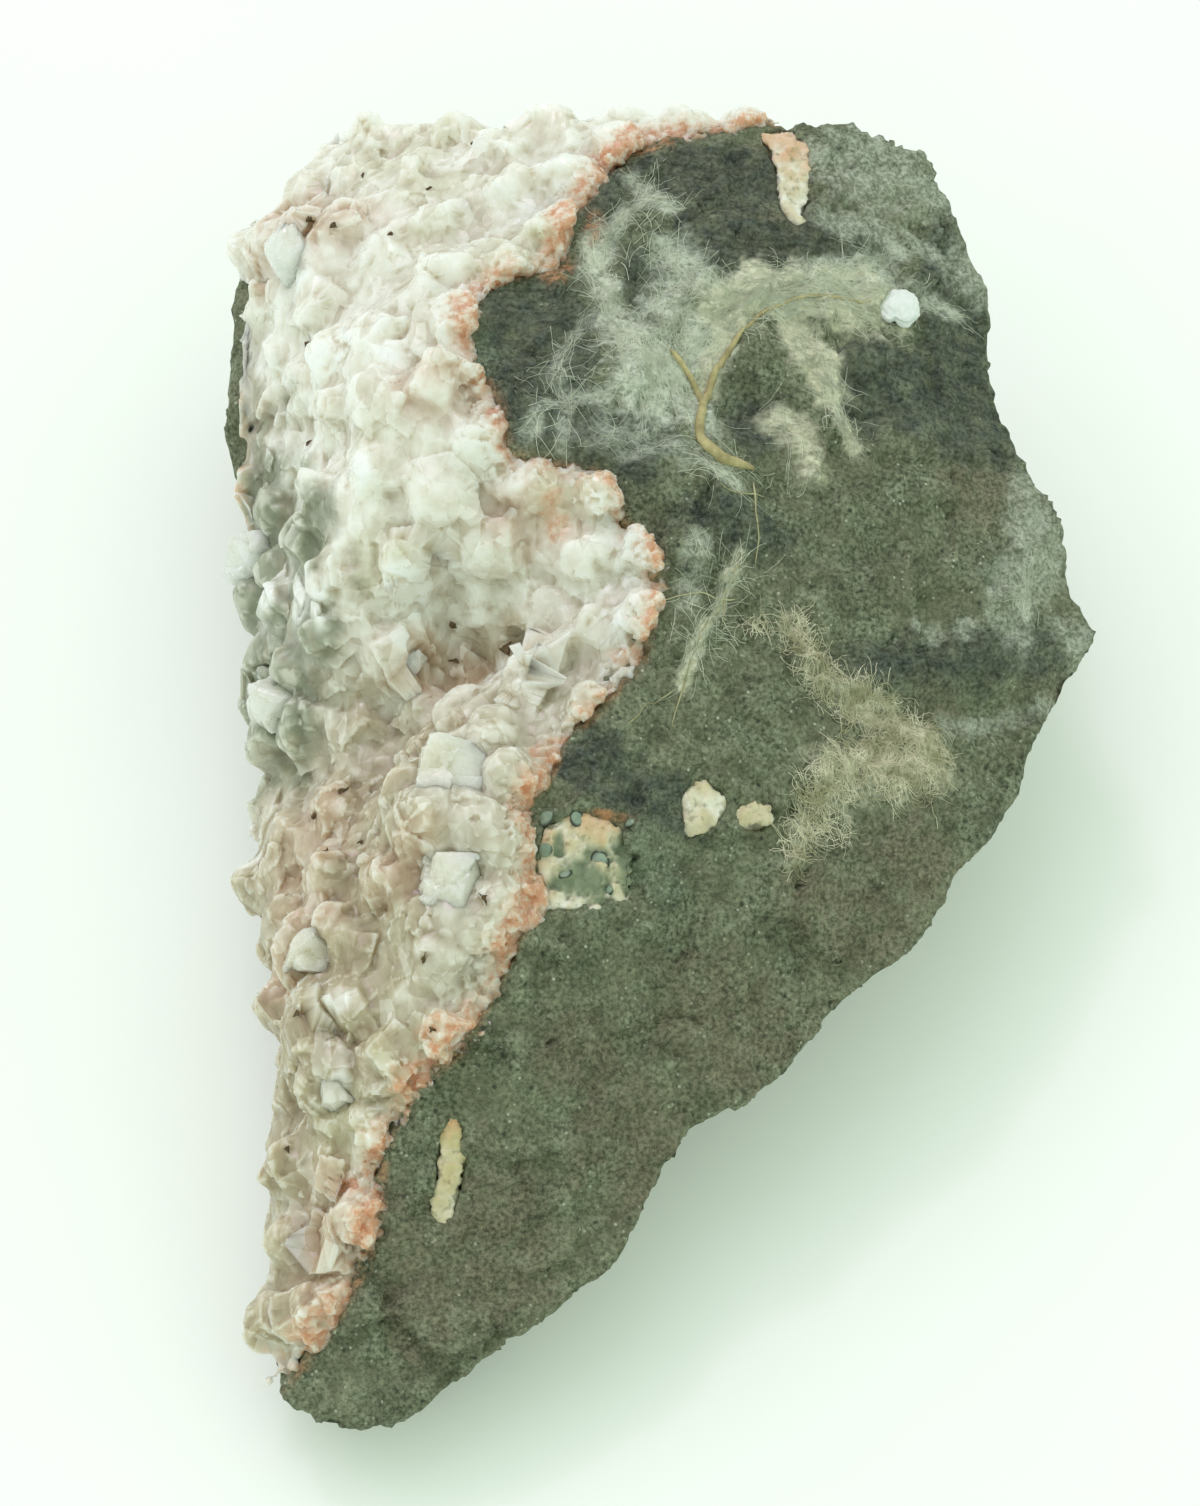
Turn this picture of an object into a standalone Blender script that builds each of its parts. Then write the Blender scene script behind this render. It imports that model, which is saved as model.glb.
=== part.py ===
"""Apophyllite specimen: zeolite crystals lining one side of a broken piece of basalt.

The rock lies on a flat patch of its underside. Its broken grey face tilts up towards the back,
and a thick druse of stilbite crystals covers the steep left flank, with glassy apophyllite
crystals seated in it. Veins and patches of pale zeolite fill cavities in the grey face.

Frame: millimetres times MM, +X to the right, +Y to the far end, +Z up.
The origin is under the middle of the object, at the height that it stands on.
"""

import math
import random

import bmesh
import bpy
import numpy as np
from mathutils import Euler, Matrix, Vector, noise
from mathutils.bvhtree import BVHTree

MM = 0.001

# The rim of the rock seen from above, clockwise from the far left corner: x, y and height.
RIM = [
    (-51, 90, 40), (-37, 92, 48), (-25, 89, 52), (-15, 83, 56), (-6, 86, 58), (4, 84, 60),
    (12, 81, 60), (21, 81, 60), (31, 82, 57), (40, 81, 52), (43, 75, 50), (46, 69, 48),
    (48, 63, 46), (47, 51, 43), (49, 44, 41), (55, 33, 37), (57, 25, 35), (58, 19, 33),
    (61, 14, 31), (55, 5, 30), (51, 0, 30), (50, -8, 29), (47, -15, 29), (40, -22, 29),
    (37, -29, 28), (33, -34, 27), (28, -38, 27), (23, -42, 26), (17, -50, 25), (11, -54, 25),
    (3, -58, 24), (0, -64, 22), (-4, -73, 20), (-8, -78, 19), (-15, -80, 18), (-22, -86, 16),
    (-28, -92, 14), (-35, -93, 13), (-43, -94, 12), (-48, -89, 12), (-51, -80, 14),
    (-50, -63, 16), (-48, -46, 17), (-50, -36, 18), (-53, -25, 18), (-54, -12, 19),
    (-53, 2, 20), (-56, 12, 20), (-55, 21, 21), (-57, 37, 22), (-57, 44, 24), (-60, 50, 25),
    (-61, 58, 27), (-60, 67, 29), (-60, 74, 31), (-57, 82, 33),
]

# Heights of the broken grey face, from the contact with the crystals out to the ledge.
FACE_POSTS = [
    (7, 77, 61), (-8, 66, 62), (-14, 51, 62), (-22, 38, 62), (-18, 22, 61), (-2, 13, 58),
    (0, 3, 55), (-8, -12, 53), (-16, -28, 50), (-20, -45, 43), (-31, -58, 35), (-36, -74, 25),
    (6, 49, 61), (27, 61, 57), (34, 40, 50), (20, 22, 52), (40, 13, 42), (6, -2, 53),
    (26, -3, 43), (46, 8, 38), (46, 1, 32), (39, -8, 35), (19, -23, 38), (6, -32, 40),
    (-1, -44, 36), (26, -31, 31), (-20, -62, 30), (-7, -61, 27), (-26, -78, 20),
]

# Heights of the crystal crust: its crest, the flank below the crest, and the recess in it.
CREST_POSTS = [
    (-13, 80, 58), (-18, 66, 60), (-34, 53, 59), (-42, 41, 55), (-42, 26, 53), (-39, 8, 50),
    (-20, -5, 46), (-29, -16, 45), (-32, -24, 44), (-27, -35, 44), (-35, -46, 38),
    (-38, -57, 32), (-40, -68, 26), (-44, -78, 19),
]
FLANK_POSTS = [
    (-47, 65, 50), (-50, 53, 42), (-53, 44, 33), (-48, 32, 37), (-27, 6, 37), (-33, -3, 36),
    (-48, 4, 31), (-45, -20, 31), (-45, -40, 28), (-46, -60, 24), (-48, -75, 17),
]
STAR_CENTRE = Vector((-12, -9))

# The line where crystals meet basalt on the broken face, from the far rim to the near tip.
CONTACT = [
    (45, 100, 50), (24, 84, 60), (17, 81, 60), (7, 78, 61), (-1, 76, 61), (-6, 71, 62),
    (-8, 67, 62), (-11, 63, 62), (-12, 58, 62), (-14, 53, 62), (-21, 51, 62), (-24, 48, 62),
    (-25, 41, 62), (-24, 36, 62), (-21, 31, 62), (-20, 27, 61), (-19, 23, 61), (-8, 21, 60),
    (-5, 17, 59), (-2, 13, 58), (0, 8, 56), (0, 3, 55), (-2, -4, 54), (-5, -9, 54),
    (-8, -12, 53), (-12, -16, 52), (-14, -21, 52), (-17, -25, 51), (-16, -30, 50),
    (-15, -36, 47), (-17, -40, 45), (-21, -46, 43), (-23, -50, 40), (-28, -55, 36),
    (-33, -59, 34), (-34, -63, 32), (-35, -68, 29), (-36, -73, 26), (-38, -78, 23),
    (-42, -83, 19), (-47, -88, 14),
]

# Where the underside of the crust comes out on the left: y, x and height.
CRUST_FOOT = [
    (100, -50, 30), (80, -57, 30), (74, -57.5, 34), (58, -58, 31), (46, -56, 28),
    (36, -55, 17), (12, -54, 14), (-12, -52, 13), (-46, -47, 11), (-80, -50, 9), (-90, -51, 9),
]
CRUST_SAG = 6.0  # how far the crust's underside hangs below a straight line to its foot
CRUST_REACH = (-95.0, 95.0)  # outer corner of the space that the crystals grow in: x and z
CRUST_FOOT_WALL = 12.0  # how far that space's outer corner lies below the crust's foot

BASE_SHARE = 0.55  # of the underside's mapping, kept for the flat patch at height zero
UNDERCUT_NEAR = 0.75  # mm inwards for each mm of height, where a wall faces the near side
UNDERCUT_FAR = 0.35
ROUGH_SIZE = 16.0  # mm between the larger bumps of the broken basalt
ROUGH_HEIGHT = 1.3
TOP_SHARE = 1.3  # how far the mapping's equator is pushed down, to give the top more faces
FORM_CUTS = 17
GRID_WANDER = 0.03  # irregularity of the facets, as a share of the sphere's radius
GRID_WANDER_SIZE = 7.0

SKY = 200.0  # a height above everything

GAP = 0.3  # between pieces that touch
CRUST_TRIANGLE_SHARE = 0.72
CRUST_CRYSTAL_SPACING = 8.2
CRUST_CRYSTAL_WIDTH = (7.5, 11.5)
CRUST_CRYSTAL_DEPTH = 11.0  # length of a crust crystal, most of it sunk in the crust
CRUST_CRYSTAL_SHOW = (1.6, 3.6)
CRUST_CRYSTAL_TAPER = (0.55, 0.85)  # width and thickness at the tip, as shares of those at the foot
CRUST_CRYSTAL_LEAN = 0.35  # radians
CONTACT_MARGIN = 1.5  # crystals keep this far from the contact with the basalt
FOOT_MARGIN = 1.0  # and this far above the crust's foot

# Apophyllite crystals: x, y, size along three edges, and how each leans off the surface that it
# stands on, about its own x and y, and turns about its length, in degrees.
APOPHYLLITE = [
    (-49.0, 5.0, (7.0, 5.5, 8.5), (10, -12, 20)),
    (-24.5, -33.0, (8.5, 8.0, 9.5), (14, -6, 40)),
    (-25.5, -20.0, (10.0, 8.5, 9.0), (-10, 8, -12)),
    (-40.0, -45.5, (5.0, 4.5, 6.5), (12, 10, 40)),
    (-39.5, -55.5, (4.5, 4.0, 6.0), (-10, 12, 15)),
    (-33.0, 4.5, (4.5, 4.0, 6.0), (-14, 5, 30)),
    (-54.5, 32.0, (8.0, 6.5, 7.5), (8, 14, 65)),
    (-42.5, -36.0, (6.5, 6.0, 8.0), (12, -14, 70)),
    (-48.0, 66.5, (8.0, 7.0, 9.0), (-12, 10, 20)),
]
APOPHYLLITE_LIFT = 0.12  # how far a crystal's middle stands off the crust, as a share of its length
APOPHYLLITE_CORNER = 0.24  # share of the shortest edge that each corner facet takes off

# Pale zeolite in the basalt: outlines seen from above, and how deep each filling goes.
FILLINGS = {
    "top_vein": [(15.5, 78.5), (19, 79.5), (21.5, 77), (21, 69), (20, 62.5), (18, 66), (17.5, 72.5)],
    "lower_vein": [(-26, -59.5), (-24.5, -61), (-24.8, -66), (-26.5, -70.5), (-28, -69.5), (-27.2, -64)],
    "zeolite_patch": [
        (-13.5, -27), (-10, -25.5), (-3.5, -27), (-4, -33), (-8, -35.5), (-13, -36), (-14, -31.5),
    ],
    "zeolite_fleck_large": [(3.8, -21), (6, -18.5), (9, -19.5), (8, -23), (4.5, -24.3)],
    "zeolite_fleck_small": [(10.5, -20.6), (15, -19.3), (15.3, -20.8), (10.6, -22.2)],
}
FILLING_DEPTH = 3.5
FILLING_PRISM_HEIGHT = 40.0  # enough to stand clear of the face

COCOON_PLACE = (33.8, 54.0)
COCOON_SIZE = (4.8, 4.4, 3.2)
COCOON_SINK = 0.35  # share of its height that lies in a hollow of the basalt

ROOT_ROUTE = [(12.5, 45), (9.5, 40), (7, 34), (6.2, 27.5), (8.8, 24.5), (13, 25)]
ROOT_RADIUS = 0.6
ROOT_LIFT = 0.75  # clearance under the root, over the bumps of the rock

random.seed(41)


# ---------------------------------------------------------------- materials and objects


def srgb(hex_colour):
    """Linear red, green, blue and alpha of a colour written as six hex digits."""
    channels = [int(hex_colour[i : i + 2], 16) / 255 for i in (0, 2, 4)]
    return [c / 12.92 if c < 0.04045 else ((c + 0.055) / 1.055) ** 2.4 for c in channels] + [1.0]


def plain_material(name, colour, roughness, transmission=0.0, ior=1.5):
    material = bpy.data.materials.new(name)
    material.use_nodes = True
    shader = material.node_tree.nodes["Principled BSDF"]
    shader.inputs["Base Color"].default_value = srgb(colour)
    shader.inputs["Roughness"].default_value = roughness
    shader.inputs["Transmission Weight"].default_value = transmission
    shader.inputs["IOR"].default_value = ior
    material.diffuse_color = srgb(colour)
    return material


def new_collection(name):
    collection = bpy.data.collections.new(name)
    bpy.context.scene.collection.children.link(collection)
    return collection


def object_from(bm, name, collection, material=None):
    """Turns a bmesh in millimetres into an object in metres."""
    bmesh.ops.scale(bm, vec=(MM, MM, MM), verts=bm.verts)
    bmesh.ops.recalc_face_normals(bm, faces=bm.faces)
    mesh = bpy.data.meshes.new(name)
    bm.to_mesh(mesh)
    bm.free()
    if material:
        mesh.materials.append(material)
    obj = bpy.data.objects.new(name, mesh)
    collection.objects.link(obj)
    return obj


def make_helper(obj):
    obj.hide_render = True
    obj.display_type = "WIRE"
    return obj


def boolean(obj, operation, other):
    """Adds a Boolean modifier with one object, or with every object of a collection."""
    modifier = obj.modifiers.new(operation.title(), "BOOLEAN")
    modifier.operation = operation
    modifier.solver = "EXACT"
    if isinstance(other, bpy.types.Collection):
        modifier.operand_type = "COLLECTION"
        modifier.collection = other
    else:
        modifier.object = other


def thin_out(obj, share):
    """Collapses the smallest facets until about this share of the triangles is left."""
    modifier = obj.modifiers.new("Thin out", "DECIMATE")
    modifier.ratio = share


def grow(bm, distance):
    """Moves every wall outwards by a distance, or inwards if it is negative."""
    bmesh.ops.recalc_face_normals(bm, faces=bm.faces)
    bm.normal_update()
    moved = [vert.co + vert.normal * distance * vert.calc_shell_factor() for vert in bm.verts]
    for vert, place in zip(bm.verts, moved):
        vert.co = place


# ---------------------------------------------------------------- the rock's outer form


def thin_plate(posts):
    """A height function that bends smoothly through all the posts."""
    places = np.array([post[:2] for post in posts], float)
    heights = np.array([post[2] for post in posts], float)

    def kernel(squared):
        return 0.5 * squared * np.log(squared + 1e-9)

    count = len(posts)
    squared = ((places[:, None] - places[None]) ** 2).sum(-1)
    system = np.zeros((count + 3, count + 3))
    system[:count, :count] = kernel(squared)
    system[:count, count:] = np.column_stack([np.ones(count), places])
    system[count:, :count] = system[:count, count:].T
    weights = np.linalg.solve(system, np.append(heights, (0, 0, 0)))

    def height(x, y):
        bend = kernel((places[:, 0] - x) ** 2 + (places[:, 1] - y) ** 2) @ weights[:count]
        return float(bend + weights[count] + weights[count + 1] * x + weights[count + 2] * y)

    return height


def rim_by_angle():
    """Angle, distance and height of the rim points around the star centre, in order of angle."""
    rows = []
    for x, y, z in RIM:
        arm = Vector((x, y)) - STAR_CENTRE
        rows.append((math.atan2(arm.y, arm.x), arm.length, z))
    return np.array(sorted(rows)).T


def roughness_of(place):
    """Height in mm of the broken rock's bumps and small steps at a place."""
    at = Vector(place) / ROUGH_SIZE
    bumps = noise.fractal(at, 1.0, 2.0, 3)
    steps = noise.noise(at * 0.9 + Vector((9, 4, 2)), noise_basis="VORONOI_CRACKLE")
    return ROUGH_HEIGHT * (bumps + 0.5 * steps)


def form_point(direction, rim, height):
    """Where a direction from the middle of a sphere lands on the rock."""
    angle = math.atan2(direction.y, direction.x)
    reach = np.interp(angle, rim[0], rim[1], period=math.tau)
    rim_height = np.interp(angle, rim[0], rim[2], period=math.tau)
    heading = Vector((math.cos(angle), math.sin(angle)))
    below_equator = 1 - direction.z > TOP_SHARE
    if not below_equator:
        spread = math.sqrt((1 - direction.z) / TOP_SHARE)
        x, y = STAR_CENTRE + heading * reach * spread
        z = height(x, y)
        return Vector((x, y, z + roughness_of((x, y, z)) * (0.35 + 0.65 * (1 - spread**8))))
    spread = math.sqrt((1 + direction.z) / (2 - TOP_SHARE))
    facing_near = 0.5 - 0.5 * math.sin(angle)
    undercut = UNDERCUT_FAR + (UNDERCUT_NEAR - UNDERCUT_FAR) * facing_near
    base_reach = reach - rim_height * undercut
    if spread < BASE_SHARE:
        x, y = STAR_CENTRE + heading * base_reach * spread / BASE_SHARE
        return Vector((x, y, 0))
    down = (1 - spread) / (1 - BASE_SHARE)
    x, y = STAR_CENTRE + heading * (reach - (reach - base_reach) * down**0.8)
    z = rim_height * (1 - down)
    inwards = abs(roughness_of((x, y, z))) * math.sin(math.pi * down)
    return Vector((x - heading.x * inwards, y - heading.y * inwards, z))


def grid_wander(direction):
    """A small shift that makes the facets of the rock irregular."""
    places = [direction * GRID_WANDER_SIZE + Vector((0, 0, 11 * axis)) for axis in range(3)]
    return Vector([noise.noise(place) for place in places]) * GRID_WANDER


def rock_form():
    """The whole rock with its crust as one closed body, its bumps included."""
    rim = rim_by_angle()
    height = thin_plate(RIM + FACE_POSTS + CREST_POSTS + FLANK_POSTS)
    bm = bmesh.new()
    bmesh.ops.create_cube(bm, size=2)
    bmesh.ops.subdivide_edges(bm, edges=bm.edges, cuts=FORM_CUTS, use_grid_fill=True)
    for vert in bm.verts:
        direction = vert.co.normalized()
        direction += grid_wander(direction)
        vert.co = form_point(direction.normalized(), rim, height)
    flat = [face for face in bm.faces if max(vert.co.z for vert in face.verts) == 0]
    bmesh.ops.dissolve_faces(bm, faces=flat)
    bmesh.ops.triangulate(bm, faces=bm.faces)
    return bm


def surface_at(tree, x, y):
    """The place on the rock under a point of the plan, and the direction that it faces."""
    place, facing, _, _ = tree.ray_cast(Vector((x, y, SKY)), Vector((0, 0, -1)))
    return place, facing


def surface_height(tree, x, y):
    return surface_at(tree, x, y)[0].z


# ---------------------------------------------------------------- the crust of crystals


def crust_section(contact):
    """One cross-section of the space that the crystals fill, as six points around it."""
    x, y, z = contact
    stations = sorted(CRUST_FOOT)
    foot_x = np.interp(y, [row[0] for row in stations], [row[1] for row in stations])
    foot_z = np.interp(y, [row[0] for row in stations], [row[2] for row in stations])
    middle = Vector(((x + foot_x) / 2, y, (z + foot_z) / 2 - CRUST_SAG * min(1, (x - foot_x) / 40)))
    left, top = CRUST_REACH
    outer_corner = (left, y, foot_z - CRUST_FOOT_WALL)
    return [(x, y, z), (x, y, top), (left, y, top), outer_corner, (foot_x, y, foot_z), middle]


def crust_space(clearance):
    """The space of the crystals, lofted through the sections, with its walls moved in by a clearance."""
    bm = bmesh.new()
    rings = [[bm.verts.new(point) for point in crust_section(contact)] for contact in CONTACT]
    for ring, following in zip(rings, rings[1:]):
        for i in range(len(ring)):
            j = (i + 1) % len(ring)
            bm.faces.new((ring[i], ring[j], following[j], following[i]))
    bm.faces.new(rings[0])
    bm.faces.new(rings[-1])
    bmesh.ops.triangulate(bm, faces=bm.faces)
    grow(bm, -clearance)
    return bm


def in_crust(place):
    """True where a place lies on the crystals' side of the contact."""
    rows = sorted((y, x) for x, y, _ in CONTACT)
    contact_x = np.interp(place.y, [row[0] for row in rows], [row[1] for row in rows])
    rows = sorted(CRUST_FOOT)
    foot_z = np.interp(place.y, [row[0] for row in rows], [row[2] for row in rows])
    return place.x < contact_x - CONTACT_MARGIN and place.z > foot_z + FOOT_MARGIN


def scattered_places(form, spacing):
    """Places on the crust, spread evenly at random, each with the direction that the surface faces."""
    faces = [face for face in form.faces if in_crust(face.calc_center_median())]
    areas = np.cumsum([face.calc_area() for face in faces])
    kept = []
    for _ in range(int(areas[-1])):
        face = faces[int(np.searchsorted(areas, random.uniform(0, areas[-1])))]
        corners = [loop.vert.co for loop in face.loops]
        shares = sorted((random.random(), random.random()))
        place = corners[0] * shares[0] + corners[1] * (shares[1] - shares[0]) + corners[2] * (1 - shares[1])
        if all((place - other).length > spacing for other, _ in kept):
            kept.append((place, face.normal.copy()))
    return kept


def crust_crystal(place, facing):
    """A blocky stilbite crystal, tapered like a sheaf's end and leaning a little off the surface."""
    bm = bmesh.new()
    bmesh.ops.create_cube(bm, size=1)
    width = random.uniform(*CRUST_CRYSTAL_WIDTH)
    show = random.uniform(*CRUST_CRYSTAL_SHOW)
    for vert in bm.verts:
        if vert.co.z > 0:
            vert.co.x *= CRUST_CRYSTAL_TAPER[0]
            vert.co.y *= CRUST_CRYSTAL_TAPER[1]
    size = Matrix.Diagonal((width, width * random.uniform(0.5, 0.8), CRUST_CRYSTAL_DEPTH, 1))
    tilts = [random.uniform(-CRUST_CRYSTAL_LEAN, CRUST_CRYSTAL_LEAN) for _ in range(2)]
    lean = Euler(tilts + [random.uniform(0, math.pi)])
    stand = facing.to_track_quat("Z", "Y").to_matrix().to_4x4() @ lean.to_matrix().to_4x4()
    lift = Matrix.Translation((0, 0, show - CRUST_CRYSTAL_DEPTH / 2))
    move = Matrix.Translation(place) @ stand @ lift @ size
    bmesh.ops.transform(bm, matrix=move, verts=bm.verts)
    return bm


def apophyllite_block(place, facing, size, turn, extra=0.0):
    """A nearly cubic crystal with a small facet on each corner, standing half in the crust."""
    bm = bmesh.new()
    bmesh.ops.create_cube(bm, size=1)
    bmesh.ops.scale(bm, vec=size, verts=bm.verts)
    bmesh.ops.bevel(
        bm, geom=bm.verts[:], offset=APOPHYLLITE_CORNER * min(size), segments=1, profile=0.5,
        affect="VERTICES", material=-1,
    )
    lean = Euler([math.radians(angle) for angle in turn])
    stand = facing.to_track_quat("Z", "Y").to_matrix().to_4x4() @ lean.to_matrix().to_4x4()
    middle = place + facing * APOPHYLLITE_LIFT * size[2]
    bmesh.ops.transform(bm, matrix=Matrix.Translation(middle) @ stand, verts=bm.verts)
    if extra:
        grow(bm, extra)
    return bm


# ---------------------------------------------------------------- things in and on the basalt


def filling_prism(outline, tree, extra=0.0):
    """An upright prism through the surface, over the outline of one filling."""
    middle_x = sum(x for x, _ in outline) / len(outline)
    middle_y = sum(y for _, y in outline) / len(outline)
    lowest = min(surface_height(tree, x, y) for x, y in outline + [(middle_x, middle_y)])
    bm = bmesh.new()
    verts = [bm.verts.new((x, y, lowest - FILLING_DEPTH)) for x, y in outline]
    face = bm.faces.new(verts)
    raised = bmesh.ops.extrude_face_region(bm, geom=[face])["geom"]
    raised_verts = [item for item in raised if isinstance(item, bmesh.types.BMVert)]
    bmesh.ops.translate(bm, vec=(0, 0, FILLING_PRISM_HEIGHT), verts=raised_verts)
    bmesh.ops.triangulate(bm, faces=bm.faces)
    grow(bm, extra)
    return bm


def cocoon(tree, extra=0.0):
    """A white papery cocoon, rounded, in a shallow hollow."""
    bm = bmesh.new()
    bmesh.ops.create_icosphere(bm, subdivisions=2, radius=0.5)
    bmesh.ops.scale(bm, vec=[edge + 2 * extra for edge in COCOON_SIZE], verts=bm.verts)
    x, y = COCOON_PLACE
    lift = COCOON_SIZE[2] * (0.5 - COCOON_SINK)
    bmesh.ops.translate(bm, vec=(x, y, surface_height(tree, x, y) + lift), verts=bm.verts)
    return bm


def dried_root(tree, collection, material):
    """The thick dried rootlet, as a bent tube that lies just clear of the rock."""
    curve = bpy.data.curves.new("dried_root", "CURVE")
    curve.dimensions = "3D"
    curve.bevel_depth = ROOT_RADIUS * MM
    curve.bevel_resolution = 2
    curve.use_fill_caps = True
    spline = curve.splines.new("POLY")
    spline.points.add(len(ROOT_ROUTE) - 1)
    for point, (x, y) in zip(spline.points, ROOT_ROUTE):
        z = surface_height(tree, x, y) + ROOT_RADIUS + ROOT_LIFT
        point.co = (x * MM, y * MM, z * MM, 1)
    curve.materials.append(material)
    root = bpy.data.objects.new("dried_root", curve)
    collection.objects.link(root)


# ---------------------------------------------------------------- putting it together


def main():
    for obj in list(bpy.data.objects):
        bpy.data.objects.remove(obj, do_unlink=True)
    parts = new_collection("apophyllite_specimen")
    cutters = new_collection("cutters")
    crystals = new_collection("crust_crystals")
    sockets = new_collection("apophyllite_sockets")
    hollows = new_collection("filling_hollows")

    basalt_stone = plain_material("broken basalt", "687158", 0.92)
    stilbite = plain_material("milky stilbite", "e6ddcb", 0.45)
    clear = plain_material("clear apophyllite", "e8efe6", 0.05, transmission=1.0, ior=1.535)
    cream_zeolite = plain_material("cream zeolite", "cfc6a6", 0.8)
    papery_white = plain_material("papery white", "dde6df", 0.85)
    dry_root = plain_material("dry root", "8a8458", 0.8)

    form = rock_form()
    tree = BVHTree.FromBMesh(form)
    form.faces.ensure_lookup_table()
    for number, (place, facing) in enumerate(scattered_places(form, CRUST_CRYSTAL_SPACING), 1):
        make_helper(object_from(crust_crystal(place, facing), f"crust_crystal_{number}", crystals))

    space = make_helper(object_from(crust_space(0), "crust_space", cutters))
    inner_space = make_helper(object_from(crust_space(GAP), "crust_space_inner", cutters))
    whole = make_helper(object_from(form.copy(), "whole_rock", cutters))

    for number, (x, y, size, turn) in enumerate(APOPHYLLITE, 1):
        place, facing = surface_at(tree, x, y)
        name = f"apophyllite_crystal_{number}"
        object_from(apophyllite_block(place, facing, size, turn), name, parts, clear)
        socket = apophyllite_block(place, facing, size, turn, GAP)
        make_helper(object_from(socket, f"{name}_socket", sockets))

    for name, outline in FILLINGS.items():
        filling = object_from(filling_prism(outline, tree), name, parts, cream_zeolite)
        boolean(filling, "INTERSECT", whole)
        make_helper(object_from(filling_prism(outline, tree, GAP), f"{name}_hollow", hollows))
    object_from(cocoon(tree), "white_cocoon", parts, papery_white)
    make_helper(object_from(cocoon(tree, GAP), "cocoon_hollow", hollows))
    dried_root(tree, parts, dry_root)

    basalt = object_from(form.copy(), "basalt_matrix", parts, basalt_stone)
    boolean(basalt, "DIFFERENCE", space)
    boolean(basalt, "DIFFERENCE", hollows)

    crust = object_from(form, "stilbite_druse", parts, stilbite)
    boolean(crust, "UNION", crystals)
    boolean(crust, "INTERSECT", inner_space)
    boolean(crust, "DIFFERENCE", sockets)
    thin_out(crust, CRUST_TRIANGLE_SHARE)


main()
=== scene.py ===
"""Apophyllite specimen: the looks of a broken piece of basalt lined with zeolite crystals.

Places and sizes are in millimetres, +X to the right, +Y to the far end, +Z up, and turn to metres
where a mesh is made.
"""

import math
import random

import bmesh
import bpy
import numpy as np
from mathutils import Matrix, Vector, noise
from mathutils.bvhtree import BVHTree
from mathutils.kdtree import KDTree


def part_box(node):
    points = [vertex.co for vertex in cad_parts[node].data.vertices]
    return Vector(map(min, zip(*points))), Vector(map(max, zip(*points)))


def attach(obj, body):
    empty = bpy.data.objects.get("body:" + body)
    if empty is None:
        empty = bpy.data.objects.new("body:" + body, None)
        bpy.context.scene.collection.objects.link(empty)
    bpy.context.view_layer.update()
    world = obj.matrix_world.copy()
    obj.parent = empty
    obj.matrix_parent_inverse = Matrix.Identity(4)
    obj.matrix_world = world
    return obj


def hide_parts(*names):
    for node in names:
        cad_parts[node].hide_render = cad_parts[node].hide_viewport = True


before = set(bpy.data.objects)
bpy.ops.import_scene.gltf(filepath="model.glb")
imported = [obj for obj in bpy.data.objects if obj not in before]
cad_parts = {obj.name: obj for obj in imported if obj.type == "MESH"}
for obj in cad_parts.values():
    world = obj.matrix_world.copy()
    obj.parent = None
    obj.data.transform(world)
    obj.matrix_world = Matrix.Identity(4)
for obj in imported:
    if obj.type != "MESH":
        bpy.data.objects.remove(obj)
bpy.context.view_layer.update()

MM = 0.001
BODY = "root"

SKY = 200.0  # well above the specimen
FACET_ANGLE = 17.0  # faces that meet at more than this many degrees have a sharp edge
SPREAD = 0.55  # how far threads lie from the middle of their band, as a share of its half width

# ---------------------------------------------------------------- places on the rock

# The line where crystals meet basalt, seen from above, from the far rim to the near tip.
CONTACT = [
    (24, 84), (17, 81), (7, 78), (-1, 76), (-6, 71), (-8, 67), (-11, 63), (-12, 58), (-14, 53),
    (-21, 51), (-24, 48), (-25, 41), (-24, 36), (-21, 31), (-20, 27), (-19, 23), (-8, 21), (-5, 17),
    (-2, 13), (0, 8), (0, 3), (-2, -4), (-5, -9), (-8, -12), (-12, -16), (-14, -21), (-17, -25),
    (-16, -30), (-15, -36), (-17, -40), (-21, -46), (-23, -50), (-28, -55), (-33, -59), (-34, -63),
    (-35, -68), (-36, -73), (-38, -78), (-42, -83), (-47, -88),
]
# The crest of the crystals, where their broken top turns down into the left flank.
CREST = [
    (-13, 84), (-18, 66), (-34, 53), (-42, 41), (-42, 26), (-39, 8), (-22, -5), (-29, -16),
    (-32, -24), (-27, -35), (-35, -46), (-38, -57), (-40, -68), (-44, -78), (-49, -88),
]

# Patches of colour on the basalt: x, y and the half widths along x and y.
# Dark patches: partly the stone's own weathered blue-black, partly painted shade in the hollows of the
# broken face.
DARK_STONE_AND_SHADE = [
    (-15, 42, 9, 11), (9, 69, 12, 7), (-7, 65, 3, 8), (33, 42, 8, 7), (42, 55, 5, 9), (13, 58, 13, 5),
    (43, 42, 9, 8), (-3, 25, 7, 5), (-8, -18, 5, 4), (-20, 30, 3, 8), (-1, 51, 3.5, 6),
    (28, 38.5, 4, 5), (1, -22, 8, 3), (10, 16, 8, 4), (14, 31, 5, 4), (26, 62, 8, 4), (41, 63, 3, 7),
    (-12, 30, 5, 6),
]
PALE_STONE = [
    (31, 75, 10, 7), (52, 26, 4, 10), (57, 13, 3, 3), (39, 77, 4, 6), (50, 16, 2, 4),
    (31, 65, 10, 2.5), (48, 15, 4, 7), (44, 64, 4, 5), (37, 8, 2, 1.5), (42, 9.5, 2, 1.5),
]
GREEN_CLAY = [
    (-0.5, -30, 4.5, 4.5), (-20, 54, 3, 4), (-22.4, 37.7, 2, 4), (-9, -31, 5, 5),
]
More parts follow.
